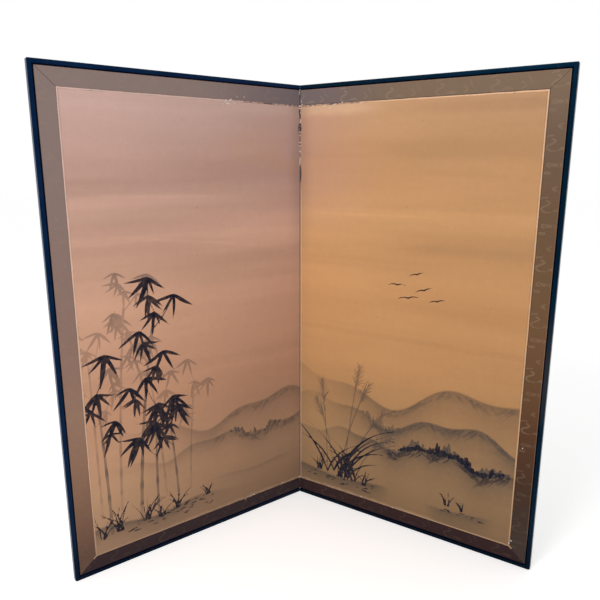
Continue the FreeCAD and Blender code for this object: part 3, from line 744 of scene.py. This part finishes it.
def wash_below(line, z, reach, strength, edge=0.0):
    """A grey wash, darkest along a line and fading into mist below it."""
    below = line - z
    return strength * smooth(below, edge, 8 * MM) * np.exp(-np.maximum(below, 0) / reach)


def far_hills(u, z, ridges):
    return np.maximum.reduce([wash_below(ridge_line(u, ridge), z, *ridge[4:]) for ridge in ridges])


def hill_folds(ink, draw, ridge, start, end, count, tone):
    """Long slanting strokes that run down from a ridge, as in hills drawn with a half-dry brush."""
    for _ in range(count):
        u = draw.uniform(start, end)
        rising = ridge_line(u + 5 * MM, ridge) > ridge_line(u - 5 * MM, ridge)
        side = -1 if rising else 1
        top = (u, ridge_line(u, ridge) - draw.uniform(6, 26) * MM)
        heading = -math.pi / 2 + side * draw.uniform(0.5, 1.0)
        path = bent_path(top, heading, draw.uniform(0.02, 0.06), side * draw.uniform(0.1, 0.5), 7)
        tones = np.linspace(tone, tone * 0.3, 7) * draw.uniform(0.5, 1.0)
        ink.stroke(path, np.linspace(2.4, 1.0, 7) * MM, tones)


def far_wood(ink, draw, ridge, start, end, size, tone):
    """A dark line of far treetops along part of a ridge: many short upright dabs."""
    for u in np.arange(start, end, size * 0.14):
        share = (u - start) / (end - start)
        clump = 0.55 + 0.45 * math.sin(share * 19 + start * 40)
        height = size * draw.uniform(0.35, 1.0) * clump * math.sin(math.pi * (0.04 + 0.92 * share)) ** 0.5
        foot = np.array([u + draw.uniform(-5, 5) * MM, ridge_line(u, ridge) - draw.uniform(0, 10) * MM])
        top = foot + (draw.uniform(-5, 5) * MM, height)
        half_widths = np.maximum(np.array([0.08, 0.13, 0.05]) * size * draw.uniform(0.8, 1.3), 1.5 * MM)
        ink.stroke([foot, (foot + top) / 2, top], half_widths, tone * draw.uniform(0.55, 1.0))


def moss_dabs(ink, draw, u_range, z_range, count, tone):
    """Short level touches of the brush on the ground."""
    for _ in range(count):
        start = np.array([draw.uniform(*u_range), draw.uniform(*z_range)])
        end = start + (draw.uniform(6, 22) * MM, draw.uniform(-2, 2) * MM)
        ink.stroke([start, end], [2.4 * MM, 1.6 * MM], tone * draw.uniform(0.5, 1.0))


def paint_left(u, z, pale, dark):
    """A bamboo grove on a dark bank towards the outer side, and low hills that run on to the fold."""
    draw = np.random.default_rng(11)
    for stems, leaves, leaf_size in ((PALE_CULMS, pale, 0.088), (DARK_CULMS, dark, 0.112)):
        for stem in stems:
            culm(pale, leaves, draw, leaf_size, *stem)
    for tuft in LEFT_TUFTS:
        grass_tuft(dark, draw, *tuft, 0.92)
    moss_dabs(dark, draw, (0.42, 0.87), (0.105, 0.15), 46, 0.8)
    hill_folds(pale, draw, LEFT_RIDGES[0], 0.02, 0.34, 30, 0.5)
    hill_folds(pale, draw, LEFT_RIDGES[1], 0.02, 0.40, 44, 0.62)
    far_wood(pale, draw, LEFT_RIDGES[1], 0.10, 0.34, 0.034, 0.85)
    hills = far_hills(u, z, LEFT_RIDGES) * smooth(u, 0.9, 0.35)
    bank_line = 0.150 + 0.012 * np.sin(u / 0.06) + 0.02 * (u - 0.5)
    bank = wash_below(bank_line, z, 0.045, 0.80, GROUND_EDGE) * smooth(u, 0.30, 0.6)
    shore = wash_below(0.205 + 0.006 * np.sin(u / 0.05), z, 0.015, 0.36, GROUND_EDGE)
    return np.maximum.reduce([hills, bank, shore * smooth(u, 0.5, 0.3) * smooth(u, 0.02, 0.12)])


def paint_right(u, z, pale, dark):
    """Low hills in mist with plume grass near the fold, and a few far birds."""
    draw = np.random.default_rng(23)
    for stem in REEDS:
        reed(pale, dark, draw, *stem, 0.9)
    for tuft in RIGHT_TUFTS:
        grass_tuft(dark, draw, *tuft, 0.95)
    moss_dabs(dark, draw, (0.04, 0.36), (0.095, 0.135), 26, 0.85)
    moss_dabs(dark, draw, (0.60, 0.80), (0.12, 0.14), 12, 0.8)
    back, middle, front = RIGHT_RIDGES
    hill_folds(pale, draw, back, 0.42, 0.88, 60, 0.58)
    hill_folds(pale, draw, middle, 0.34, 0.88, 110, 0.74)
    hill_folds(dark, draw, front, 0.40, 0.88, 110, 0.6)
    far_wood(pale, draw, front, 0.42, 0.88, 0.054, 0.95)
    far_wood(dark, draw, front, 0.47, 0.80, 0.050, 0.95)
    far_wood(dark, draw, front, 0.60, 0.86, 0.036, 0.9)
    far_wood(pale, draw, middle, 0.30, 0.46, 0.030, 0.7)
    for far_bird in BIRDS:
        bird(dark, *far_bird, 0.8)
    hills = far_hills(u, z, RIGHT_RIDGES) * (0.35 + 0.65 * smooth(u, 0.1, 0.4))
    near = smooth(u, 0.46, 0.34) + 0.8 * smooth(u, 0.55, 0.64) * smooth(u, 0.86, 0.76)
    earth = wash_below(0.140 + 0.010 * np.sin(u / 0.07 + 2), z, 0.05, 0.80, GROUND_EDGE) * near
    water = wash_below(0.225 + 0.004 * np.sin(u / 0.04), z, 0.012, 0.3, GROUND_EDGE)
    return np.maximum.reduce([hills, earth, water * smooth(u, 0.40, 0.5) * smooth(u, 0.85, 0.7)])


PAINTERS = {"left": paint_left, "right": paint_right}


# Sheets of silk, brocade and paper

SILK_CELL = 4 * MM
SILK_COCKLE = 0.22 * MM
# At the fold a sheet rises to the line on which the panels turn: u, and the height above the sheet
FOLD_LIP = ((0.02 * MM, 1.42 * MM), (0.18 * MM, 1.05 * MM), (0.42 * MM, 0.62 * MM), (0.8 * MM, 0.26 * MM),
            (1.3 * MM, 0.06 * MM), (2.0 * MM, 0.0))


def columns(end, cell):
    """Values of u from the fold's lip to the sheet's end, and the lip's rise at each."""
    places, rises = zip(*FOLD_LIP)
    count = int(round((end - places[-1]) / cell))
    flat = np.linspace(places[-1], end, count + 1)[1:]
    return np.append(places, flat), np.append(rises, np.zeros(count))


def grid(low, high, cell):
    """Points over a whole panel: u, z, the lip's rise at each, and the faces between them."""
    across, rises = columns(high[0], cell)
    heights = np.linspace(low[2], high[2], int(round((high[2] - low[2]) / cell)) + 1)
    u, z = [values.ravel() for values in np.meshgrid(across, heights)]
    return u, z, np.tile(rises, len(heights)), sheet_faces(len(across), len(heights))


def painting(side):
    """The painted silk of one panel, a little cockled between its pasted edges."""
    low, high = local_box(f"{side}_painting_silk")
    u, z, rise, faces = grid(low, high, SILK_CELL)
    held = smooth(u, low[0], low[0] + 0.05) * smooth(high[0] - u, 0, 0.04)
    held = held * smooth(z - low[2], 0, 0.04) * smooth(high[2] - z, 0, 0.04)
    cockle = 0.65 * ripple(u * 0.45, z * 1.6, 0.16, 5 + SIDES[side])
    cockle = cockle + 0.35 * ripple(u, z, 0.06, 8 + SIDES[side])
    depth = low[1] - rise - SILK_COCKLE * held * np.clip(cockle, -1.6, 1.6)
    places = np.stack([u, z], 1)
    pale, dark = Ink(places), Ink(places)
    wash = PAINTERS[side](u, z, pale, dark)
    item = make_piece(f"{side}_painted_silk", side, np.stack([u, depth, z], 1), faces, silk_material(side),
                      "painting_silk", [f"{side}_painting_silk"],
                      pale_ink=np.stack([pale.edge, pale.tone, wash], 1),
                      dark_ink=np.stack([dark.edge, dark.tone, u * 0], 1))


# One repeat of the brocade's figure, hooked clouds and curls, in mm: half width, and points right and up
FIGURE_STROKES = (
    (2.8, ((17, 36), (25, 33), (27, 28), (20, 23), (9, 19), (1, 14), (1, 6), (12, 1))),
    (1.5, ((12, 1), (18, 0), (25, 0), (31, 1))),
    (1.8, ((0, 42), (6, 49), (12, 43), (19, 48))),
    (1.4, ((42, 81), (33, 78), (26, 73), (33, 69), (42, 66))),
    (1.4, ((40, 73), (33, 73))),
    (1.7, ((17, 150), (9, 150), (5, 145), (9, 140), (17, 140))),
    (1.4, ((20, 147), (27, 149), (36, 148), (40, 145), (35, 141), (26, 141), (20, 144))),
    (1.2, ((27, 145), (34, 145))),
    (1.5, ((44, 150), (49, 147), (49, 142), (44, 140))),
    (1.5, ((0, 121), (7, 125), (15, 124), (22, 121), (15, 118), (7, 117), (0, 121))),
    (1.9, ((38, 3), (42, 8), (52, 10), (64, 9), (70, 4))),
    (1.6, ((48, 4), (62, 4))),
    (2.1, ((95, 26), (101, 20), (109, 15), (107, 9), (97, 6))),
    (1.8, ((113, 43), (117, 32), (126, 19))),
)
FIGURE_REPEAT = np.array([181, 187]) * MM
# Where the first repeat stands on each piece of brocade: u and z
FIGURE_STARTS = {
    "left": {"top": (0.525, 1.639), "outer": (0.946, 1.400), "bottom": (0.300, 0.024)},
    "right": {"top": (0.5365, 1.630), "outer": (0.899, 1.4455), "bottom": (0.110, 0.024)},
}
BORDER_CELL = 2.5 * MM
FIGURE_RELIEF = 0.08 * MM
SEAM_DROP = 0.3 * MM


def draw_figure(places):
    """Distance to the edge of the brocade's figure, which repeats rightwards and upwards."""
    ink = Ink(places)
    first = np.floor(places.min(0) / FIGURE_REPEAT).astype(int) - 1
    last = np.ceil(places.max(0) / FIGURE_REPEAT).astype(int)
    for repeat in np.ndindex(*(last - first)):
        for half_width, points in FIGURE_STROKES:
            path = np.array(points) * MM + (first + repeat) * FIGURE_REPEAT
            middles = (path[1:] + path[:-1]) / 2
            ink.stroke(np.vstack([path[:1], middles, path[-1:]]), half_width * MM, 1.0)
    return ink.edge


def border(side, where, material):
    """One mitred strip of brocade beside the frame; its inner edge is next to the painting."""
    low, high = local_box(f"{side}_border_{where}")
    inner = {"outer": BORDER_LOW[0], "top": low[2], "bottom": high[2]}[where]
    outer = {"outer": BORDER_HIGH[0], "top": high[2], "bottom": low[2]}[where]
    width = abs(outer - inner)
    rows = int(round(width / BORDER_CELL)) + 1
    shares = np.linspace(0, 1, rows)[:, None]
    upright = where == "outer"
    if upright:
        count = int(round((high[2] - low[2]) / BORDER_CELL)) + 1
        along_shares, rises = np.linspace(0, 1, count), np.zeros(count)
        starts = STRIP_LOW[2] + (low[2] - STRIP_LOW[2]) * shares
        ends = STRIP_HIGH[2] + (high[2] - STRIP_HIGH[2]) * shares
    else:
        places, rises = columns(high[0], BORDER_CELL)
        along_shares = (places - places[0]) / (places[-1] - places[0])
        starts = places[0]
        ends = BORDER_LOW[0] + (BORDER_HIGH[0] - BORDER_LOW[0]) * shares
    along = starts + (ends - starts) * along_shares
    seam = np.minimum(ends - along, along - starts) if upright else ends - along
    shares = np.broadcast_to(shares, along.shape).ravel()
    along, seam, across = along.ravel(), seam.ravel() / math.sqrt(2), shares * width
    position = inner + (outer - inner) * across / width
    u, z = (position, along) if upright else (along, position)
    start_u, start_z = FIGURE_STARTS[side][where]
    figure = draw_figure(np.stack([SIDES[side] * (u - start_u), z - start_z], 1))
    relief = FIGURE_RELIEF * smooth(figure, 1 * MM, -1 * MM)
    cockle = 0.06 * MM * ripple(along, across, 0.07, 31)
    depth = low[1] - np.tile(rises, rows) - relief + cockle + SEAM_DROP * smooth(seam, 1.5 * MM, 0)
    faces = sheet_faces(len(along_shares), rows)
    item = make_piece(f"{side}_brocade_{where}", side, np.stack([u, depth, z], 1),
                      faces if where == "top" else faces[:, ::-1], material, "brocade",
                      [f"{side}_border_{where}"],
                      weave=np.stack([-along if upright else along, shares, figure], 1), seam=seam)
    length = float((high - low)[2 if upright else 0])
    flat_area = float(width * (length - width / (1 if upright else 2)))


BACK_CELL = 8 * MM
# The core's ribs: the piece that they start from, the axis across them, and how many there are
RIBS = (("core_hinge_stile", 0, 5), ("core_bottom_rail", 2, 10))
RIB_HALF = 6 * MM
RIB_SHOWS = 0.12 * MM


def back_sheet(side, material):
    """The backing paper, through which the lattice of the core shows a little."""
    low, high = local_box(f"{side}_back_paper")
    u, z, rise, faces = grid(low, high, BACK_CELL)
    ribs = u * 0
    for node, axis, count in RIBS:
        first_low, first_high = local_box(f"{side}_{node}")
        end = high[axis] - (first_high[axis] - first_low[axis])
        for middle in np.linspace(first_high[axis], end, count + 2)[1:-1]:
            away = np.abs((z if axis else u) - middle)
            ribs = np.maximum(ribs, smooth(away, 2.2 * RIB_HALF, 0.7 * RIB_HALF))
    slack = 0.10 * MM * ripple(u, z, 0.12, 41 + SIDES[side])
    held = smooth(u, low[0], low[0] + 0.03) * smooth(high[0] - u, 0, 0.02)
    depth = high[1] + rise + held * (RIB_SHOWS * ribs + slack)
    make_piece(f"{side}_backing_paper", side, np.stack([u, depth, z], 1), faces[:, ::-1], material,
               "back_paper", [f"{side}_back_paper"])


# Edging strips

# A strip's section: across as a share of its half width, and depth as a share of its thickness
STRIP_PROFILE = np.array([(-1.0, 1.0), (-1.0, 0.4), (-0.82, 0.12), (-0.4, 0.0), (0.4, 0.0), (0.82, 0.12),
                          (1.0, 0.4), (1.0, 1.0)])
STRIP_STEP = 6 * MM
STRIP_SWAY = 0.22 * MM
# The loose end of the bottom strip: its start before the corner, its length past that, its turn and its lift
TAIL_START = 6 * MM
TAIL_LENGTH = 13 * MM
TAIL_BEND = -1.05
TAIL_LIFT = 1.6 * MM


def strip(side, where, path, half_width, fronts, material):
    """A narrow raised strip along a path in the panel's face."""
    run = np.gradient(path, axis=0)
    run /= np.linalg.norm(run, axis=1)[:, None]
    normal = np.stack([-run[:, 1], run[:, 0]], 1)
    face = path[:, None] + (normal * half_width[:, None])[:, None] * STRIP_PROFILE[:, :1]
    depth = fronts[:, None] + STRIP_PROFILE[:, 1] * (STRIP_HIGH[1] - fronts)[:, None]
    local = np.stack([face[..., 0], depth, face[..., 1]], 2).reshape(-1, 3)
    faces = tube_faces(len(STRIP_PROFILE), len(path))
    make_piece(f"{side}_gold_strip_{where}", side, local, faces, material, "edging_gold",
               [f"{side}_edging_strip_{where}"], closed=True)


def edging(side):
    """The pale gold strips round the painting; the bottom one's outer end has come loose and curls out."""
    material = strip_material(side)
    half = (STRIP_HIGH[0] - STRIP_LOW[0]) / 2
    fold, corner, bottom, top = SILK_LOW[0], STRIP_LOW[0] + half, STRIP_LOW[2] + half, STRIP_HIGH[2] - half
    routes = (("top", (fold, top), (STRIP_HIGH[0], top)),
              ("outer", (corner, STRIP_LOW[2]), (corner, STRIP_HIGH[2])),
              ("bottom", (fold, bottom), (corner - TAIL_START, bottom)))
    for index, (where, start, end) in enumerate(routes):
        run = np.subtract(end, start)
        count = int(np.linalg.norm(run) / STRIP_STEP)
        path = start + run * np.linspace(0, 1, count + 1)[:, None]
        lift = np.zeros(len(path))
        if where == "bottom":
            tail = bent_path(path[-1], 0.0, TAIL_LENGTH + TAIL_START, TAIL_BEND)[1:]
            path = np.vstack([path, tail])
            lift = np.append(lift, TAIL_LIFT * np.linspace(0, 1, len(tail)) ** 1.5)
        distance = np.arange(len(path)) * STRIP_STEP
        seed = 50 + 3 * index + SIDES[side]
        sway, width, rise = [ripple(distance, distance * 0, size, seed + shift)
                             for size, shift in ((0.11, 0), (0.05, 20), (0.04, 40))]
        path = path + (STRIP_SWAY * sway)[:, None] * ((1, 0) if where == "outer" else (0, 1))
        fronts = np.maximum(STRIP_LOW[1] + 0.08 * MM * rise - lift, FRAME_LOW[1] - 0.2 * MM)
        strip(side, where, path, half * (0.92 + 0.07 * width), fronts, material)


# Frame

TOP_CORNER = 4 * MM
FOOT_CORNER = 7 * MM
CORNER_ANGLES = np.linspace(0, math.pi / 4, 7)[1:]
FRAME_END = 0.25 * MM
END_LIP = 0.02 * MM
END_BEAD = 0.4 * MM
LONG_EDGE_ROUND = 2 * MM
FLAT_MARGIN = 1.5 * MM
INNER_SLOPE_WIDE = 5 * MM
INNER_SLOPE_DEEP = 0.85 * MM
STATION_STEP = 45 * MM


def frame_profile():
    """Points round a frame member: distance from its outer edge, depth, wear, and share of slope."""
    front, back, r = FRAME_LOW[1], FRAME_HIGH[1], LONG_EDGE_ROUND
    slope, flat = FRAME_FACE - INNER_SLOPE_WIDE, r + FLAT_MARGIN
    arc = [(r * math.sin(angle), r * math.cos(angle)) for angle in np.linspace(0, math.pi / 2, 6)]
    return np.array([
        (FRAME_FACE, front + INNER_SLOPE_DEEP, 0.2, 1), (slope + 1.2 * MM, front + 0.2 * MM, 0.1, 1),
        (slope + 0.2 * MM, front + 0.05 * MM, 0.3, 0.6), (slope - 0.6 * MM, front, 0.3, 0),
        (flat, front, 0.1, 0),
        *[(r - sine, front + r - cosine, 1.0, 0) for sine, cosine in arc],
        (0.0, front + flat, 0.1, 0), (0.0, back - flat, 0.1, 0),
        *[(r - cosine, back - r + sine, 1.0, 0) for sine, cosine in arc],
        (flat, back, 0.1, 0), (slope, back, 0.2, 0), (FRAME_FACE, back - INNER_SLOPE_DEEP, 0.2, 1),
    ])


def corner_sections(rounding, inwards):
    """Distances of the profile from the mitred end and from the outer edge, up to the corner's middle."""
    reach, rest = np.maximum(rounding, inwards), np.maximum(rounding - inwards, 0)
    return [(reach - rest * math.sin(angle), reach - rest * math.cos(angle)) for angle in CORNER_ANGLES]


def member(side, where, length, roundings, place_at, material):
    """One frame member, mitred at its far end, and at its near end too where that has a rounding.

    place_at turns distances along the member and in from its outer edge into u and z.
    """
    profile = frame_profile()
    inwards = profile[:, 0]
    start, end = [np.maximum(rounding, inwards) if rounding else inwards * 0 for rounding in roundings]
    stations = list(np.linspace(roundings[0], length - roundings[1], int(round(length / STATION_STEP)) + 1))
    if not roundings[0]:
        stations.insert(1, END_BEAD)
    sections = [(np.clip(station, start, length - end), inwards) for station in stations]
    if roundings[0]:
        sections = corner_sections(roundings[0], inwards)[::-1] + sections
    sections += [(length - along, across) for along, across in corner_sections(roundings[1], inwards)]
    points, marks = [], []
    for section in sections:
        u, z = place_at(*section)
        points.append(np.stack([u, profile[:, 1], z], 1))
        marks.append(profile[:, 2:].copy())
    if not roundings[0]:
        front = points[0][:, 1] < FRAME_LOW[1] + INNER_SLOPE_DEEP
        points[0][front, 0] = END_LIP
        points[0][front, 1] -= FRAME_LOW[1] - END_LIP
        # the end's front lip takes the inner slope's painted shade and duller gloss
        marks[0][front, 1] = 1
    wear, slope = np.vstack(marks).T
    make_piece(f"{side}_lacquered_{where}", side, np.vstack(points), tube_faces(len(profile), len(sections)),
               material, "lacquer", [f"{side}_frame_{where}"], closed=True, wear=wear, slope=slope)


def frame_members(side, material):
    width, height = PANEL_WIDTH - FRAME_END, PANEL_HEIGHT
    member(side, "top", width, (0, TOP_CORNER), lambda s, w: (FRAME_END + s, height - w), material)
    member(side, "bottom", width, (0, FOOT_CORNER), lambda s, w: (FRAME_END + s, w), material)
    member(side, "outer", height, (FOOT_CORNER, TOP_CORNER), lambda s, w: (PANEL_WIDTH - w, s), material)


# Small flakes of torn paper: u, z, length, width, heading in degrees, lift of the free end; lengths in mm
CHIPS = {
    "left": ((340, 1613, 18, 8, 15, 1.5), (326, 1622, 16, 9, -25, 1.2), (308, 1627, 20, 6, -20, 1.5),
             (318, 1615, 26, 6, 5, 1.0), (292, 1619, 14, 4, 10, 0.9), (279, 1640, 7, 3, 60, 0.8),
             (249, 1641, 7, 3, 80, 0.8), (225, 1619, 12, 4, 10, 0.9), (108, 1625, 8, 4, -20, 1.0),
             (60, 1622, 10, 3, 5, 0.8), (2, 1672, 16, 4, 90, 0.7), (886, 905, 8, 5, 70, 1.2),
             (160, 70, 8, 4, 20, 1.0), (238, 71, 12, 5, 10, 1.2), (254, 68, 9, 4, -30, 1.2),
             (268, 69, 12, 5, 20, 1.0), (279, 64, 8, 4, -40, 0.9), (92, 74, 9, 4, 25, 0.9),
             (560, 70, 7, 3, 15, 0.7)),
    "right": ((57, 1622, 11, 4, 5, 1.0), (77, 1609, 14, 9, -15, 1.6), (108, 1620, 15, 7, -15, 1.6),
              (132, 1612, 14, 5, 25, 1.2), (150, 1623, 20, 4, 5, 0.9), (183, 1627, 12, 5, -30, 1.6),
              (260, 1622, 16, 3, 5, 0.8), (5, 1640, 12, 3, 78, 0.9), (9, 1629, 9, 4, 60, 0.9),
              (3, 1608, 8, 3, 90, 0.8), (899, 92, 8, 5, -40, 1.4), (893, 80, 6, 4, -60, 1.2),
              (439, 69, 9, 4, 10, 1.2), (300, 71, 8, 4, -15, 0.9), (910, 455, 5, 4, 30, 0.7)),
}
CHIP_THICK = 0.25 * MM
CHIP_SIDES = 10
CHIP_RINGS = (0.0, 0.55, 1.0)


def chips(side, material):
    """Lifted flakes where the strip and the fold are torn, each a thin curled scale."""
    draw = np.random.default_rng(7 + SIDES[side])
    n = CHIP_SIDES
    angles = np.linspace(0, 2 * math.pi, n, endpoint=False)
    points, faces = [], []
    for u, z, length, width, heading, lift in CHIPS[side]:
        base = len(points) * n
        cos, sin = math.cos(math.radians(heading)), math.sin(math.radians(heading))
        uneven = draw.uniform(0.5, 1.25, n)
        for ring, drop in [(ring, drop) for drop in (0, CHIP_THICK) for ring in CHIP_RINGS]:
            x = 0.5 * length * ring * uneven * np.cos(angles)
            y = 0.5 * width * ring * uneven * np.sin(angles)
            raised = 0.3 + lift * (x / length + 0.5) ** 2 + 0.12 * lift * (y / width * 2) ** 2
            depth = SILK_LOW[1] - raised * MM + drop
            place = (u + x * cos - y * sin) * MM, depth, (z + x * sin + y * cos) * MM
            points.append(np.stack(place, 1))
        for k in range(n):
            after = (k + 1) % n
            for first, second in ((0, 1), (1, 2), (3, 4), (4, 5), (2, 5)):
                a, b = base + first * n, base + second * n
                faces.append((a + k, a + after, b + after, b + k))
    make_piece(f"{side}_torn_flakes", side, np.vstack(points), faces, material, "hinge_paper", closed=True)


# Stage, light and camera

UP = Vector((0, 0, 1))
WHITE = (1.0, 1.0, 1.0, 1.0)
CAMERA_PLACE = Vector((-0.0917, -2.0837, 1.3965))
CAMERA_YAW = math.radians(2.241)
CAMERA_PITCH = math.radians(12.687)
CAMERA_ROLL = math.radians(0.034)
CAMERA_LENS = 35.3475
CAMERA_SENSOR = 36.0
FLOOR_HALF = 30.0
FLOOR_WHITE = rgb(247, 247, 247)
FLOOR_GLOW = 0.36
ROOM_LIGHT = 0.667
KEY_PLACE = Vector((-3.0, -3.4, 4.0))
KEY_AIM = Vector((0.1, 0.0, 0.9))
KEY_SIZE = 2.4
KEY_POWER = 128.0


def aim(item, place, forward, roll=0.0):
    """Turns a camera or a lamp, which look along their own -Z, to face a direction."""
    forward = forward.normalized()
    level = forward.cross(UP).normalized()
    above = level.cross(forward)
    right = level * math.cos(roll) + above * math.sin(roll)
    upward = above * math.cos(roll) - level * math.sin(roll)
    turned = Matrix((right, upward, -forward)).transposed()
    item.matrix_world = Matrix.Translation(place) @ turned.to_4x4()


def camera():
    data = bpy.data.cameras.new("camera")
    data.sensor_width = CAMERA_SENSOR
    data.lens = CAMERA_LENS
    item = link("camera", data)
    level = math.cos(CAMERA_PITCH)
    forward = (math.sin(CAMERA_YAW) * level, math.cos(CAMERA_YAW) * level, -math.sin(CAMERA_PITCH))
    aim(item, CAMERA_PLACE, Vector(forward), CAMERA_ROLL)
    bpy.context.scene.camera = item


def seen_share(g):
    """1 for what the camera, a gloss or a glass sees directly, 0 for what lights the object."""
    rays = g.add("ShaderNodeLightPath").outputs
    direct, gloss, glass = [Value(g, rays[f"Is {ray} Ray"]) for ray in ("Camera", "Glossy", "Transmission")]
    return g.math("MAXIMUM", g.math("MAXIMUM", direct, gloss), glass)


def room():
    """An even white room that lights the object gently and shows plain white."""
    world = bpy.data.worlds.new("room")
    bpy.context.scene.world = world
    g = Graph(world)
    light, backdrop = [g.value("ShaderNodeBackground", {"Color": WHITE, "Strength": strength})
                       for strength in (ROOM_LIGHT, 1.0)]
    mixed = g.value("ShaderNodeMixShader", {0: seen_share(g), 1: light, 2: backdrop})
    g.add("ShaderNodeOutputWorld", {"Surface": mixed})


def floor():
    mesh = bpy.data.meshes.new("floor")
    corners = [(x * FLOOR_HALF, y * FLOOR_HALF, 0) for x, y in ((-1, -1), (1, -1), (1, 1), (-1, 1))]
    mesh.from_pydata(corners, [], [(0, 1, 2, 3)])
    g = Material("floor_white", on_panel=False, Roughness=0.9, Specular_IOR_Level=0.1)
    g.set(Base_Color=FLOOR_WHITE, Emission_Color=WHITE, Emission_Strength=FLOOR_GLOW * seen_share(g))
    mesh.materials.append(g.material)
    link("floor", mesh)


def key_lamp():
    data = bpy.data.lights.new("key", "AREA")
    data.shape = "DISK"
    data.size = KEY_SIZE
    data.energy = KEY_POWER
    aim(link("key", data), KEY_PLACE, KEY_AIM - KEY_PLACE)


# Everything together

def dress_nodes():
    """Materials for the CAD nodes that keep their own solids, by their slots."""
    materials = {
        "core_wood": wood_material(),
        "under_paper": paper_material("under_paper", rgb(214, 200, 172), rgb(186, 164, 130)),
        "hinge_paper": paper_material("hinge_paper", rgb(138, 106, 80), rgb(96, 70, 54)),
        "nail_steel": steel_material(),
    }
    for part in frame["record"]["subparts"]:
        if part["material_slot"] in materials:
            slots = frame["nodes"][part["node"]].data.materials
            slots.clear()
            slots.append(materials[part["material_slot"]])


def build():
    camera()
    room()
    floor()
    key_lamp()
    dress_nodes()
    back_paper = back_paper_material()
    flake_paper = paper_material("torn_paper", rgb(228, 212, 204), rgb(196, 170, 154))
    for side in SIDES:
        painting(side)
        side_cloth, foot_cloth = brocade_material(side), brocade_material(f"{side}_foot")
        for where in ("top", "outer", "bottom"):
            border(side, where, foot_cloth if where == "bottom" else side_cloth)
        edging(side)
        frame_members(side, lacquer_material(side))
        back_sheet(side, back_paper)
        chips(side, flake_paper)


bpy.context.scene.view_settings.view_transform = "Standard"
build()
bpy.context.view_layer.update()
